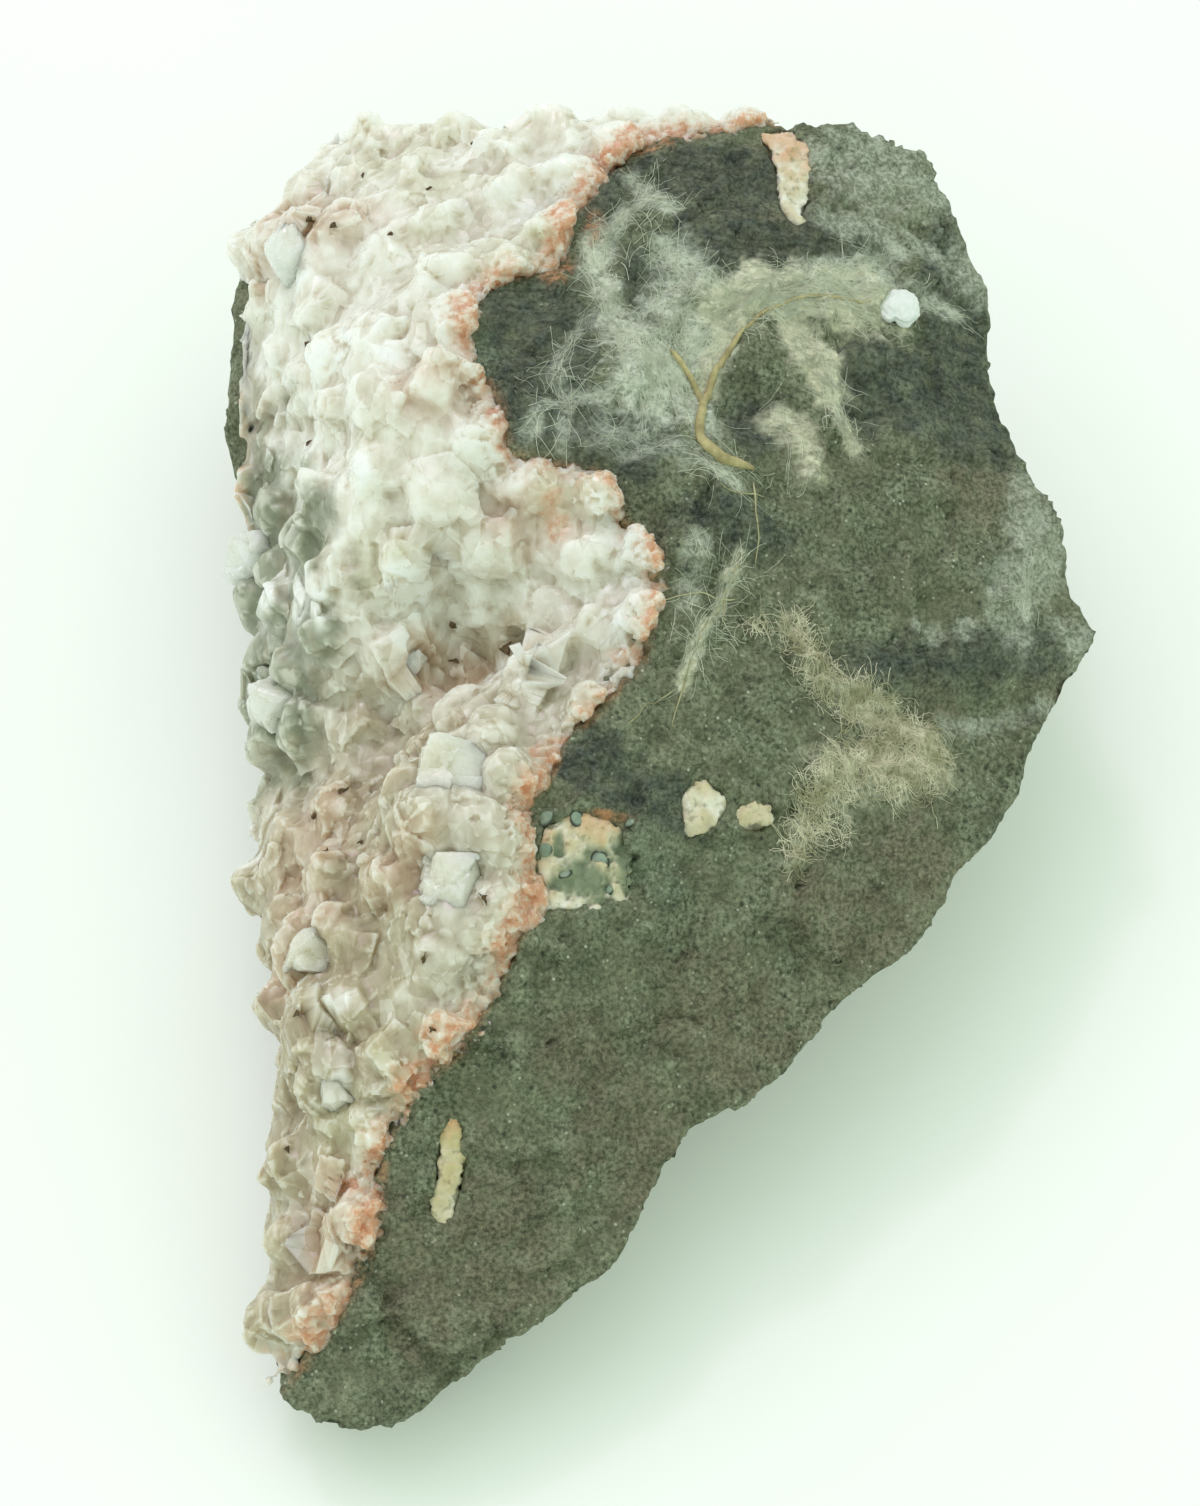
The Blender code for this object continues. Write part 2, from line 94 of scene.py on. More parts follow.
BROWN_STONE = [
    (20, 72, 9, 5), (16, 60, 12, 6), (6, 70, 6, 6), (38, 0, 4, 3), (10, -45, 12, 8), (-20, -72, 9, 9),
    (25, -30, 9, 6), (45, 30, 6, 6), (-3, -60, 8, 10), (20, 30, 4, 4), (55, 5, 4, 4), (-30, -78, 5, 8),
    (-9, -52, 7, 5), (34, -21, 7, 5), (4, -75, 10, 6),
]
# Bands of colour on the basalt: half width, strength and the points of the line.
# Painted shade: a dark band beside the step of the ledge.
LEDGE_SHADE_BANDS = [(3.0, 1.0, [(28, 1), (38, 4.5), (46, 7.5), (53, 10.5)])]
PALE_BANDS = [(1.6, 0.9, [(39, -3), (46, 0), (53, 4)])]
# Cobweb that lies over the stone: half width, strength, threads for each mm and the line.
WEB_BANDS = [
    (2.0, 0.85, 5, [(-7.9, 58.7), (-7, 52), (-5.2, 45), (-3, 38)]),
    (3.6, 1.0, 7, [(-4.5, 44), (-2, 37), (-0.5, 31)]),
    (1.1, 0.8, 5, [(-2.6, 69), (-0.2, 66.3), (2.8, 62.5)]),
    (1.2, 0.6, 4, [(-0.2, 66.3), (-3.5, 62), (-7, 56)]),
    (3.0, 0.75, 5, [(2.4, 55.4), (6, 52), (9.1, 49.3)]),
    (2.6, 0.75, 5, [(2.3, 50), (2.3, 44), (1.5, 38)]),
    (4.0, 1.0, 7, [(0.3, 34.9), (3, 38), (6, 43)]),
    (2.6, 0.8, 5, [(6.5, 30), (4, 33.5), (2, 38)]),
    (2.6, 0.9, 5, [(13, 51.5), (20, 53.5), (27, 55.5), (32, 58)]),
    (1.4, 0.7, 4, [(22, 56.3), (28, 59.5), (34, 62)]),
    (1.3, 0.6, 4, [(31.7, 54), (36, 56), (42, 57)]),
    (1.0, 0.45, 2, [(-15.9, 26), (-14.8, 29.5), (-10.5, 32), (-6, 31)]),
    (0.9, 0.35, 2, [(-12, 24), (-11.4, 30), (-12.5, 36)]),
    (1.0, 0.3, 2, [(-8, 46), (-11.5, 40), (-13.5, 34)]),
    (2.4, 0.35, 2, [(-7, 26), (0, 25), (8, 24)]),
    (1.0, 0.75, 4, [(7, 23.5), (11, 20.9)]),
    (1.6, 0.35, 2, [(6, 12), (4, 4)]),
    (0.7, 0.4, 2, [(51, 22), (50, 14)]),
]
# The same where the threads are moss and root hair, beige with dust.
MOSS_BANDS = [
    (3.0, 1.0, 8, [(9.1, 48), (13, 49.4), (20, 51), (26, 52.5), (32, 54)]),
    (4.2, 1.0, 6, [(15, 51), (22, 51.4), (29, 53)]),
    (0.8, 0.6, 5, [(11.3, 12.6), (8.6, 4.7), (5.9, -0.9), (3.6, -7)]),
    (2.4, 0.95, 7, [(18.2, 48.5), (21, 44), (23.3, 39.5)]),
    (0.8, 0.95, 7, [(23.3, 39.5), (25.3, 34.5), (27, 31.3)]),
    (2.6, 0.45, 2, [(17.5, 32), (19.6, 30), (20.6, 26.5)]),
    (1.6, 0.6, 4, [(11, 46.5), (8.4, 40.5), (6.8, 36)]),
]
# The same where the moss lies in clumps: half width, strength and the line.
MAT_BANDS = [
    (1.3, 0.25, [(18, 4.5), (20, 0), (23.7, -2.7)]),
    (1.9, 0.36, [(25, -3.2), (31, -4.6), (37, -6.8)]),
    (3.4, 0.3, [(36, -9), (29, -11), (23.5, -14)]),
    (0.9, 0.25, [(20.5, -17), (18.6, -21), (18.2, -25.5)]),
]
# Bulges and hollows of the broken basalt: x, y, half widths and height.
BASALT_FORMS = [
    (28.5, 38.5, 4.5, 5.5, -1.5), (-15, 42, 8, 9, -0.9), (-1, 51, 3.5, 6, -0.6), (0, 36, 5, 7, 0.5),
    (9, 68, 12, 6, -0.9), (33, 76, 10, 8, 0.6), (19.6, 29.5, 3, 3.5, 0.6), (13, 33, 4, 5, -0.7),
    (-9, 63, 3, 5, -0.6), (44, 44, 8, 7, -0.8), (8, 12, 7, 5, -0.5), (50, 26, 5, 9, 0.5),
]
# Rust on the basalt, near the crystals.
RUSTY_STONE = [(-8, 60, 1.3, 3), (-13, 53, 2.2, 3), (-1, 75, 4, 1.5), (-6, -25, 2.6, 0.45)]

# Patches of colour in the crystals, in the same way.
PINK_CRYSTAL = [
    (-50, 73, 8, 7), (-28, 32, 6, 5), (-15, 16, 7, 4), (-44, 68, 7, 5), (-56, 46, 4, 5),
    (-44, -19, 7, 8), (-46, -32, 6, 7), (-41, -73, 6, 10), (-32, -31, 5, 4), (-28, 3, 7, 5),
]
YELLOW_CRYSTAL = [
    (-18, 56, 6, 5), (-36, 13, 4, 4), (-37, 27, 4, 2), (-32, -52, 4, 8), (-30, 71, 6, 3),
    (-35, 82, 8, 5), (-39, -59, 4, 5), (-12, 18, 4, 3),
]
GREY_CRYSTAL = [(-55, 28, 8, 20), (-51, 8, 9, 12), (-46, 18, 4, 8)]
# Honey-beige patches; where they lie in the cave and the hollows of the crust, they are partly painted
# shade.
HONEY_CRYSTAL = [
    (-58, 54, 4, 13), (-24, 4, 8, 4), (-36, -4, 7, 4), (-30, -8, 4, 4), (-47, 67, 4, 2.5),
]
RUST_SPOTS = [
    (-58.5, 45, 2.0, 11), (-12.9, 15.3, 1.8, 2.2), (-2.5, -3.3, 2.2, 1.4), (-31.5, -57, 2.5, 2),
    (-15.5, -44, 2, 2.4), (-36.5, -74, 2, 3), (-44, -85, 2.5, 2), (-13, 54, 2, 3), (-20.5, 31, 1.4, 3),
    (-13.5, -17, 2, 2), (-8.5, 59, 1.6, 3), (-27, -52, 2.5, 1.5), (-48, -86, 4, 3.5),
    (-38, -67, 1.5, 1.6),
]

# Dark soil in the gaps between the crystals, partly painted shade of the deep gaps: x, y, half width,
# half depth and the way it lies.
CREVICE_SOIL_AND_SHADE = [
    (-50.5, 68.5, 1.5, 0.8, 20), (-47.0, 69.0, 0.8, 0.6, 0), (-43.5, 65.5, 0.7, 0.5, 50),
    (-24.5, 79.0, 1.1, 0.4, 40), (-30.5, 70.5, 0.6, 0.4, 0), (-40.7, -13.7, 1.2, 0.5, 70),
    (-44.5, -15.0, 0.9, 0.5, 30), (-48.7, -29.0, 0.8, 0.5, 90), (-25.6, -15.3, 1.4, 0.5, 150),
    (-21.5, -38.0, 1.3, 0.5, 10), (-26.5, 8.7, 0.9, 0.45, 160), (-26.3, 4.9, 1.1, 0.4, 10),
    (-45.5, -46.0, 0.9, 0.5, 60), (-38.0, -22.0, 0.7, 0.4, 0), (-42.5, -22.5, 0.6, 0.4, 20),
    (-46.8, -60.0, 0.7, 0.5, 90), (-19.3, 3.9, 1.3, 1.2, 30), (-33.0, -9.0, 0.9, 0.35, 140),
    (-47.2, 52.0, 0.7, 0.5, 0), (-35.5, 62.0, 0.5, 0.4, 0), (-46.5, 37.5, 0.8, 0.35, 120),
    (-44.0, 30.0, 0.8, 0.3, 60), (-52.0, -22.0, 0.5, 0.4, 0), (-28.0, -52.5, 0.5, 0.4, 0),
    (-29.0, -44.0, 1.2, 0.35, 100), (-40.0, 78.0, 0.7, 0.35, 30),
]

# Gaps between crystals, deep and three-cornered: x, y, size and depth, and the way to each side.
HOLES = [
    (-19.3, 3.9, 1.5, 5.5), (-32.1, -58.6, 1.1, 3.0), (-50.3, 68.6, 0.8, 2.0), (-40.7, -13.7, 0.7, 2.0),
]
HOLE_SIDES = (0.2, 2.3, 4.4)

# Bulges and hollows of the crust: x, y, half widths and height.
CRUST_FORMS = [
    (-30, 16, 10, 7, 1.5), (-24, 3, 9, 4, -2.6), (-43, 43, 5, 3, 0.8), (-35.5, 40, 4, 4, 0.8),
    (-50, 70, 7, 4, -1.4), (-9, 4, 6, 6, 0.4), (-33, -12, 7, 5, -1.0), (-46, -5, 4, 6, -1.0),
]
# Places where a flat face throws the light back white: painted highlights in the crust's colour.
BRIGHT_FACES = [
    (-40.2, -45.6, 2.0, 1.8), (-39.3, -55, 1.4, 1.3), (-33.1, 4, 1.5, 1.4), (-9.6, 6.2, 2.2, 1.3),
    (-5.7, 2.2, 1.5, 1.5), (-43.4, 43.1, 4, 2.2), (-35.5, 40.2, 3, 3), (-47, 14, 1.4, 4), (-52, 19, 1.2, 3),
    (-44, 10, 1.3, 3.5), (-17, -2, 1.8, 5), (-30.7, 9.2, 5, 1.5), (-38.5, 22, 1.5, 2.5), (-52, 4, 2, 1.5),
    (-5, -1, 1.2, 2.4), (-48, 60, 1, 1.6), (-54, -14, 2, 1.5),
]
# Single crystals that stand out: kind, place, the way it faces, the way its width lies, its width
# and depth, and the height that shows.
LONE_CRYSTALS = [
    ("lobe", (-33.6, 9.6, 47.6), (0.3, -0.66, 0.69), (1, 0.35, 0.1), (13, 6.5), 1.5),
    ("lobe", (-24.5, 12.6, 50), (0.1, -0.6, 0.75), (1, 0.1, 0), (9, 5.5), 0.6),
    ("blade", (-17.4, -2.5, 48.2), (-0.25, -0.2, 0.9), (-0.45, 1, 0), (11, 4), 1.2),
    ("blade", (-46.5, 14, 41), (-0.6, -0.3, 0.75), (0.6, -1, 0.2), (13, 3), 1.3),
    ("blade", (-51.5, 18, 37), (-0.7, -0.3, 0.65), (0.3, -1, 0.2), (12, 2.6), 1.1),
    ("blade", (-43.2, 8, 43.2), (-0.5, -0.4, 0.75), (0.7, -0.8, 0.1), (10, 2.8), 1.2),
    ("blade", (-50.5, 4.9, 29), (-0.75, -0.1, 0.65), (0.1, 1, 0), (8, 5), 3.0),
    ("blade", (-52.5, 9.5, 25), (-0.9, 0.1, 0.4), (0, 1, 0.3), (7, 4), 2.0),
    ("block", (-40.2, -45.6, 32), (-0.5, -0.3, 0.8), (1, 0.4, 0.4), (3.8, 3.6), 1.4),
    ("block", (-39.3, -55, 31), (-0.5, -0.4, 0.8), (1, -0.4, 0.4), (3.0, 2.6), 1.1),
    ("block", (-33.1, 4, 40.6), (-0.3, -0.5, 0.8), (1, 0.6, 0), (3.0, 2.6), 1.5),
    ("lobe", (-43.4, 43.1, 53.6), (-0.3, -0.3, 0.9), (1, 0.2, 0.3), (9, 5), 1.3),
    ("lobe", (-35.5, 40.2, 61.0), (-0.1, -0.4, 0.9), (1, 0.5, 0), (7, 6.5), 1.0),
    ("lobe", (-26, -13, 46.5), (-0.3, -0.4, 0.85), (0.3, 1, 0), (10, 6), 0.6),
    ("lobe", (-31, -2, 41.5), (-0.4, -0.4, 0.8), (0.2, 1, 0), (9, 6), 0.8),
]

# The step in the basalt: its line in plan, its height and how far it reaches.
LEDGE = [(26, -3), (37, 1), (46, 4), (60, 11)]
LEDGE_STEP = 2.5
LEDGE_REACH = 7.0


# ---------------------------------------------------------------- small helpers


def colour(hex_colour):
    """Linear red, green, blue and alpha of an sRGB colour written as six hex digits."""
    channels = [int(hex_colour[i : i + 2], 16) / 255 for i in (0, 2, 4)]
    return [c / 12.92 if c < 0.04045 else ((c + 0.055) / 1.055) ** 2.4 for c in channels] + [1.0]


def feed(tree, node, inputs):
    """Gives a node its inputs, by name or in their order, each a value or another's output."""
    for socket, value in inputs.items() if isinstance(inputs, dict) else enumerate(inputs):
        if isinstance(value, bpy.types.NodeSocket):
            tree.links.new(value, node.inputs[socket])
        else:
            node.inputs[socket].default_value = value


def add(tree, kind, inputs, **settings):
    """Adds a node with its settings and inputs, and gives back its outputs."""
    made = tree.nodes.new("ShaderNode" + kind)
    for name, value in settings.items():
        setattr(made, name, value)
    feed(tree, made, inputs)
    return made.outputs


def per_mm(size):
    """The texture scale that gives a pattern this many millimetres across."""
    return 1 / (size * MM)


def smooth_step(low, high, values):
    """0 at one limit and 1 at the other, with a soft change between."""
    share = np.clip((values - low) / (high - low), 0, 1)
    return share * share * (3 - 2 * share)


def line_distance(places, line):
    """Distance in plan from each place to a line of points, and the nearest point on it."""
    best = np.full(len(places), 1e9)
    nearest = np.zeros((len(places), 2))
    for (ax, ay), (bx, by) in zip(line, line[1:]):
        start, run = np.array((ax, ay)), np.array((bx - ax, by - ay))
        share = np.clip(((places[:, :2] - start) @ run) / (run @ run), 0, 1)
        point = start + share[:, None] * run
        distance = np.linalg.norm(places[:, :2] - point, axis=1)
        closer = distance < best
        best[closer], nearest[closer] = distance[closer], point[closer]
    return best, nearest


def wobble_of(places, size, shift=0.0):
    """Soft noise about -1 to 1 at each place, with features of this size."""
    offset = Vector((shift, 2 * shift, 3 * shift))
    return np.array([noise.fractal(Vector(place) / size + offset, 1.0, 2.0, 4) for place in places])


def patches(places, rows, wobble, ragged=0.45):
    """How strongly each place lies in the patches, 0 to 1, with ragged edges."""
    strength = np.zeros(len(places))
    for x, y, half_x, half_y, *_ in rows:
        reach = np.hypot((places[:, 0] - x) / half_x, (places[:, 1] - y) / half_y)
        strength = np.maximum(strength, 1 - smooth_step(0.55, 1.35, reach + ragged * wobble))
    return strength


def bands(places, rows, wobble, ragged=0.5):
    """The same for bands along lines."""
    strength = np.zeros(len(places))
    for half_width, most, *_, line in rows:
        distance, _ = line_distance(places, line)
        reach = distance / half_width + ragged * wobble
        strength = np.maximum(strength, most * (1 - smooth_step(0.2, 1.5, reach)))
    return strength


def forms(places, rows):
    """The height that bulges and hollows add at each place."""
    rise = np.zeros(len(places))
    for x, y, half_x, half_y, height in rows:
        reach = np.hypot((places[:, 0] - x) / half_x, (places[:, 1] - y) / half_y)
        rise += height * (1 - smooth_step(0.3, 1.2, reach))
    return rise


def mesh_places(mesh):
    """The points of a mesh in millimetres."""
    flat = np.empty(len(mesh.vertices) * 3, np.float32)
    mesh.vertices.foreach_get("co", flat)
    return flat.reshape(-1, 3).astype(float) / MM


def mesh_facings(mesh):
    """The way each point of a mesh faces."""
    flat = np.empty(len(mesh.vertices) * 3, np.float32)
    mesh.vertex_normals.foreach_get("vector", flat)
    return flat.reshape(-1, 3).astype(float)


def move_points(mesh, places):
    """Puts the points of a mesh on these places."""
    mesh.vertices.foreach_set("co", (places * MM).astype(np.float32).ravel())
    mesh.update()


def push_out(mesh, places, rise):
    """Puts the points on these places, then this far out along the way that each one faces."""
    move_points(mesh, places + mesh_facings(mesh) * rise[:, None])


def paint(mesh, name, values):
    """Keeps one number for each point of the mesh, for its material to read."""
    attribute = mesh.attributes.new(name, "FLOAT", "POINT")
    attribute.data.foreach_set("value", np.asarray(values, np.float32))


def node_shape(name):
    """A CAD node's mesh with its loose triangles merged."""
    bm = bmesh.new()
    bm.from_mesh(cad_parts[name].data)
    bmesh.ops.remove_doubles(bm, verts=bm.verts, dist=0.001 * MM)
    return bm


def finished_mesh(bm, name):
    """The shape as a mesh, once its editing is over."""
    mesh = bpy.data.meshes.new(name)
    bm.to_mesh(mesh)
    bm.free()
    return mesh


def in_scene(name, data):
    """A new object that shows this mesh, curve, light or camera."""
    obj = bpy.data.objects.new(name, data)
    bpy.context.scene.collection.objects.link(obj)
    return obj


def shown_mesh(work):
    """The mesh that an object shows, modifiers and all; the object itself goes."""
    graph = bpy.context.evaluated_depsgraph_get()
    made = bpy.data.meshes.new_from_object(work.evaluated_get(graph))
    bpy.data.objects.remove(work)
    return made


def with_modifiers(mesh, *steps):
    """The mesh after a row of modifiers, each a kind and its settings."""
    work = in_scene("work", mesh)
    for kind, settings in steps:
        modifier = work.modifiers.new(kind, kind)
        for name, value in settings.items():
            setattr(modifier, name, value)
    made = shown_mesh(work)
    bpy.data.meshes.remove(mesh)
    return made


def smoothed(mesh, times):
    """A smoother copy of the mesh."""
    return with_modifiers(mesh.copy(), ("SMOOTH", {"factor": 0.5, "iterations": times}))


def voxel_mesh(bm, name, voxel, times=0):
    """The shape as an even mesh with faces of this size, smoothed this many times."""
    steps = [("REMESH", {"mode": "VOXEL", "voxel_size": voxel * MM})]
    if times:
        steps.append(("SMOOTH", {"factor": 0.5, "iterations": times}))
    return with_modifiers(finished_mesh(bm, name), *steps)


def proud_of(mesh, times):
    """How far each point stands out of the mesh smoothed this many times."""
    level = smoothed(mesh, times)
    proud = np.sum((mesh_places(mesh) - mesh_places(level)) * mesh_facings(level), axis=1)
    bpy.data.meshes.remove(level)
    return proud


def piece(mesh, name, material, slot, *nodes, finish="flat"):
    """Puts a finished mesh in the scene as one piece of the specimen. Its faces are flat, round or
    crisp: round with a sharp edge between facets."""
    mesh.name = name
    mesh.materials.clear()
    mesh.materials.append(material)
    if finish == "flat":
        mesh.shade_flat()
    else:
        mesh.shade_smooth()
    if finish == "crisp":
        mesh.set_sharp_from_angle(angle=math.radians(FACET_ANGLE))
    obj = in_scene(name, mesh)
    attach(obj, BODY)
    if nodes:
        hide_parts(*nodes)


def tree_of(mesh):
    """A search tree over a mesh, in millimetres."""
    mesh.calc_loop_triangles()
    corners = [tuple(triangle.vertices) for triangle in mesh.loop_triangles]
    return BVHTree.FromPolygons([Vector(place) for place in mesh_places(mesh)], corners)


def surface_at(tree, x, y):
    """The place under a point of the plan, and the direction that it faces, or None."""
    place, facing, _, _ = tree.ray_cast(Vector((x, y, SKY)), Vector((0, 0, -1)))
    return None if place is None else (place, facing)


def facet_rise(place, size, tilt, step):
    """Height at a place of a surface that broke along tilted facets of this size."""
    at = Vector(place) / size
    _, middles = noise.voronoi(at)
    middle = middles[0]
    lean = Vector([noise.noise(middle * 3.1 + Vector((0, 0, 9 * axis))) for axis in range(3)])
    return (lean.dot(at - middle) * tilt + noise.noise(middle * 2.3) * step) * size


def facets(places, *rows):
    """The same at many places, for several sizes of facet, each with its tilt and step."""
    return np.array([sum(facet_rise(place, *row) for row in rows) for place in places])


def nudged(rng, way, spread):
    """A direction, turned a little at random."""
    return (way + Vector([rng.gauss(0, spread) for _ in range(3)])).normalized()


def lying_on(found, angle):
    """The matrix that lays a shape on a surface and turns it by this angle."""
    place, facing = found
    turn = facing.to_track_quat("Z", "Y").to_matrix().to_4x4() @ Matrix.Rotation(angle, 4, "Z")
    return Matrix.Translation(place) @ turn


# ---------------------------------------------------------------- materials


def new_material(name):
    """A material, its nodes, its shader and the place in the object where each pattern is read."""
    material = bpy.data.materials.new(name)
    material.use_nodes = True
    tree = material.node_tree
    return material, tree, tree.nodes["Principled BSDF"], add(tree, "TexCoord", ())["Object"]


def blotches(tree, at, size, detail, limits=(0, 1), levels=(0, 1), rough=0.65):
    """Soft blotches this many millimetres across: noise at the limits is brought to the levels."""
    inputs = {"Vector": at, "Scale": per_mm(size), "Detail": detail, "Roughness": rough}
    return add(tree, "MapRange", (add(tree, "TexNoise", inputs)["Fac"], *limits, *levels))[0]


def layered(tree, base, *layers):
    """A base colour with layers of other colours over it, each a share and a colour, which is six
    hex digits or a node's output."""
    for share, shade, *blend in layers:
        base, shade = (colour(each) if isinstance(each, str) else each for each in (base, shade))
        settings = {"data_type": "RGBA", "blend_type": blend[0] if blend else "MIX"}
        base = add(tree, "Mix", {0: share, 6: base, 7: shade}, **settings)[2]
    return base


def fresh_basalt():
    """Fine-grained basalt, broken by a hammer: matt grey-green grains with pale feldspar specks,
    blue-black where it has weathered and, as painted shade, in its hollows and beside its ledge,
    whitish where webs, clay or bruises cover it."""
    material, tree, shader, at = new_material("fine-grained basalt, broken")
    grain = blotches(tree, at, 0.6, 4, (0.36, 0.64))
    clots = blotches(tree, at, 4, 6, (0.4, 0.6))
    drift = blotches(tree, at, 10, 5, (0.38, 0.62), (0, 0.3))
    ragged = blotches(tree, at, 2.4, 5, (0.36, 0.62))
    specks = add(tree, "TexVoronoi", {"Vector": at, "Scale": per_mm(1.3)})["Distance"]
    speck = add(tree, "MapRange", (specks, 0.2, 0.1, 0, 0.9))[0]
    speckled = blotches(tree, at, 3, 2, (0.45, 0.6))
    speck = add(tree, "Math", (speck, speckled), operation="MULTIPLY")[0]
    pores = add(tree, "TexVoronoi", {"Vector": at, "Scale": per_mm(2.6)})["Distance"]
    pore = add(tree, "MapRange", (pores, 0.16, 0.08, 0, 0.7))[0]
    bedding = {"Vector": at, "Rotation": (0.05, 0, 0.12), "Scale": (0.15, 1, 1)}
    layer = blotches(tree, add(tree, "Mapping", bedding)[0], 1, 3, (0.5, 0.32), (0, 0.55), 0.5)
    brushed = {"Vector": at, "Rotation": (0, 0, 0.5), "Scale": (0.38, 0.9, 0.38)}
    streak = blotches(tree, add(tree, "Mapping", brushed)[0], 1, 5, (0.36, 0.62), (0.35, 1.3), 0.7)
    soft_edge = add(tree, "Math", (ragged, 0.75, 0.25), operation="MULTIPLY_ADD")[0]

    # Threads: thin lines where slow noise passes its middle, at three sizes, as cobwebs lie.
    threads = 0.0
    for size in (3.0, 5.0, 8.0):
        slow = {"Vector": at, "Scale": per_mm(size), "Detail": 2, "Roughness": 0.6, "Distortion": 0.8}
        off = add(tree, "Math", (add(tree, "TexNoise", slow)["Fac"], 0.5), operation="SUBTRACT")[0]
        off = add(tree, "Math", (off,), operation="ABSOLUTE")[0]
        width = 0.035 / size
        line = add(tree, "MapRange", (off, width * 3, width * 0.5))[0]
        threads = add(tree, "Math", (threads, line), operation="MAXIMUM")[0]

    # The mass of the rock with its specks and pores, then what lies on it: the name it is painted
    # under, its dark and light grains, how strong it is and the pattern of its edge.
    clot = layered(tree, "404736", (grain, "7a7e66"))
    stone = layered(
        tree, "465039", (grain, "9ea58b"), (clots, clot), (drift, "8e8e72"), (speck, "c4cab6"),
        (pore, "2c312a"),
    )
    for name, dark, light, strength, edge in (
        ("brown", "54503f", "918a73", 0.8, soft_edge),
        # The dark layers: the stone's weathered blue-black, and painted shade in the hollows and beside the
        # ledge.
        ("dark", "2c312b", "6b7368", 1.3, soft_edge),
        ("dark", "272b29", "272b29", 1.0, layer),
        ("pale", "939a89", "c6cbba", 1.1, soft_edge),
        ("green", "5a6654", "90a088", 0.65, soft_edge),
        ("fibre", "b4bdac", "ebefe2", 1.1, streak),
        ("moss", "cbcaae", "f4f2da", 1.7, streak),
        ("fibre", "e6e9d8", "e6e9d8", 0.8, threads),
        ("moss", "e3dcc0", "e3dcc0", 0.6, threads),
        ("rust", "8e6444", "cf9c74", 1.3, ragged),
    ):
        share = add(tree, "Attribute", (), attribute_name=name)["Fac"]
        for factor in (strength, edge):
            share = add(tree, "Math", (share, factor), operation="MULTIPLY", use_clamp=True)[0]
        stone = layered(tree, stone, (share, layered(tree, dark, (grain, light))))

    relief = blotches(tree, at, 0.7, 4, rough=0.75)
    bump = add(tree, "Bump", {"Height": relief, "Strength": 0.9, "Distance": 0.55 * MM})[0]
    look = {"Base Color": stone, "Normal": bump, "Roughness": 0.9, "Specular IOR Level": 0.35}
    feed(tree, shader, look)
    return material


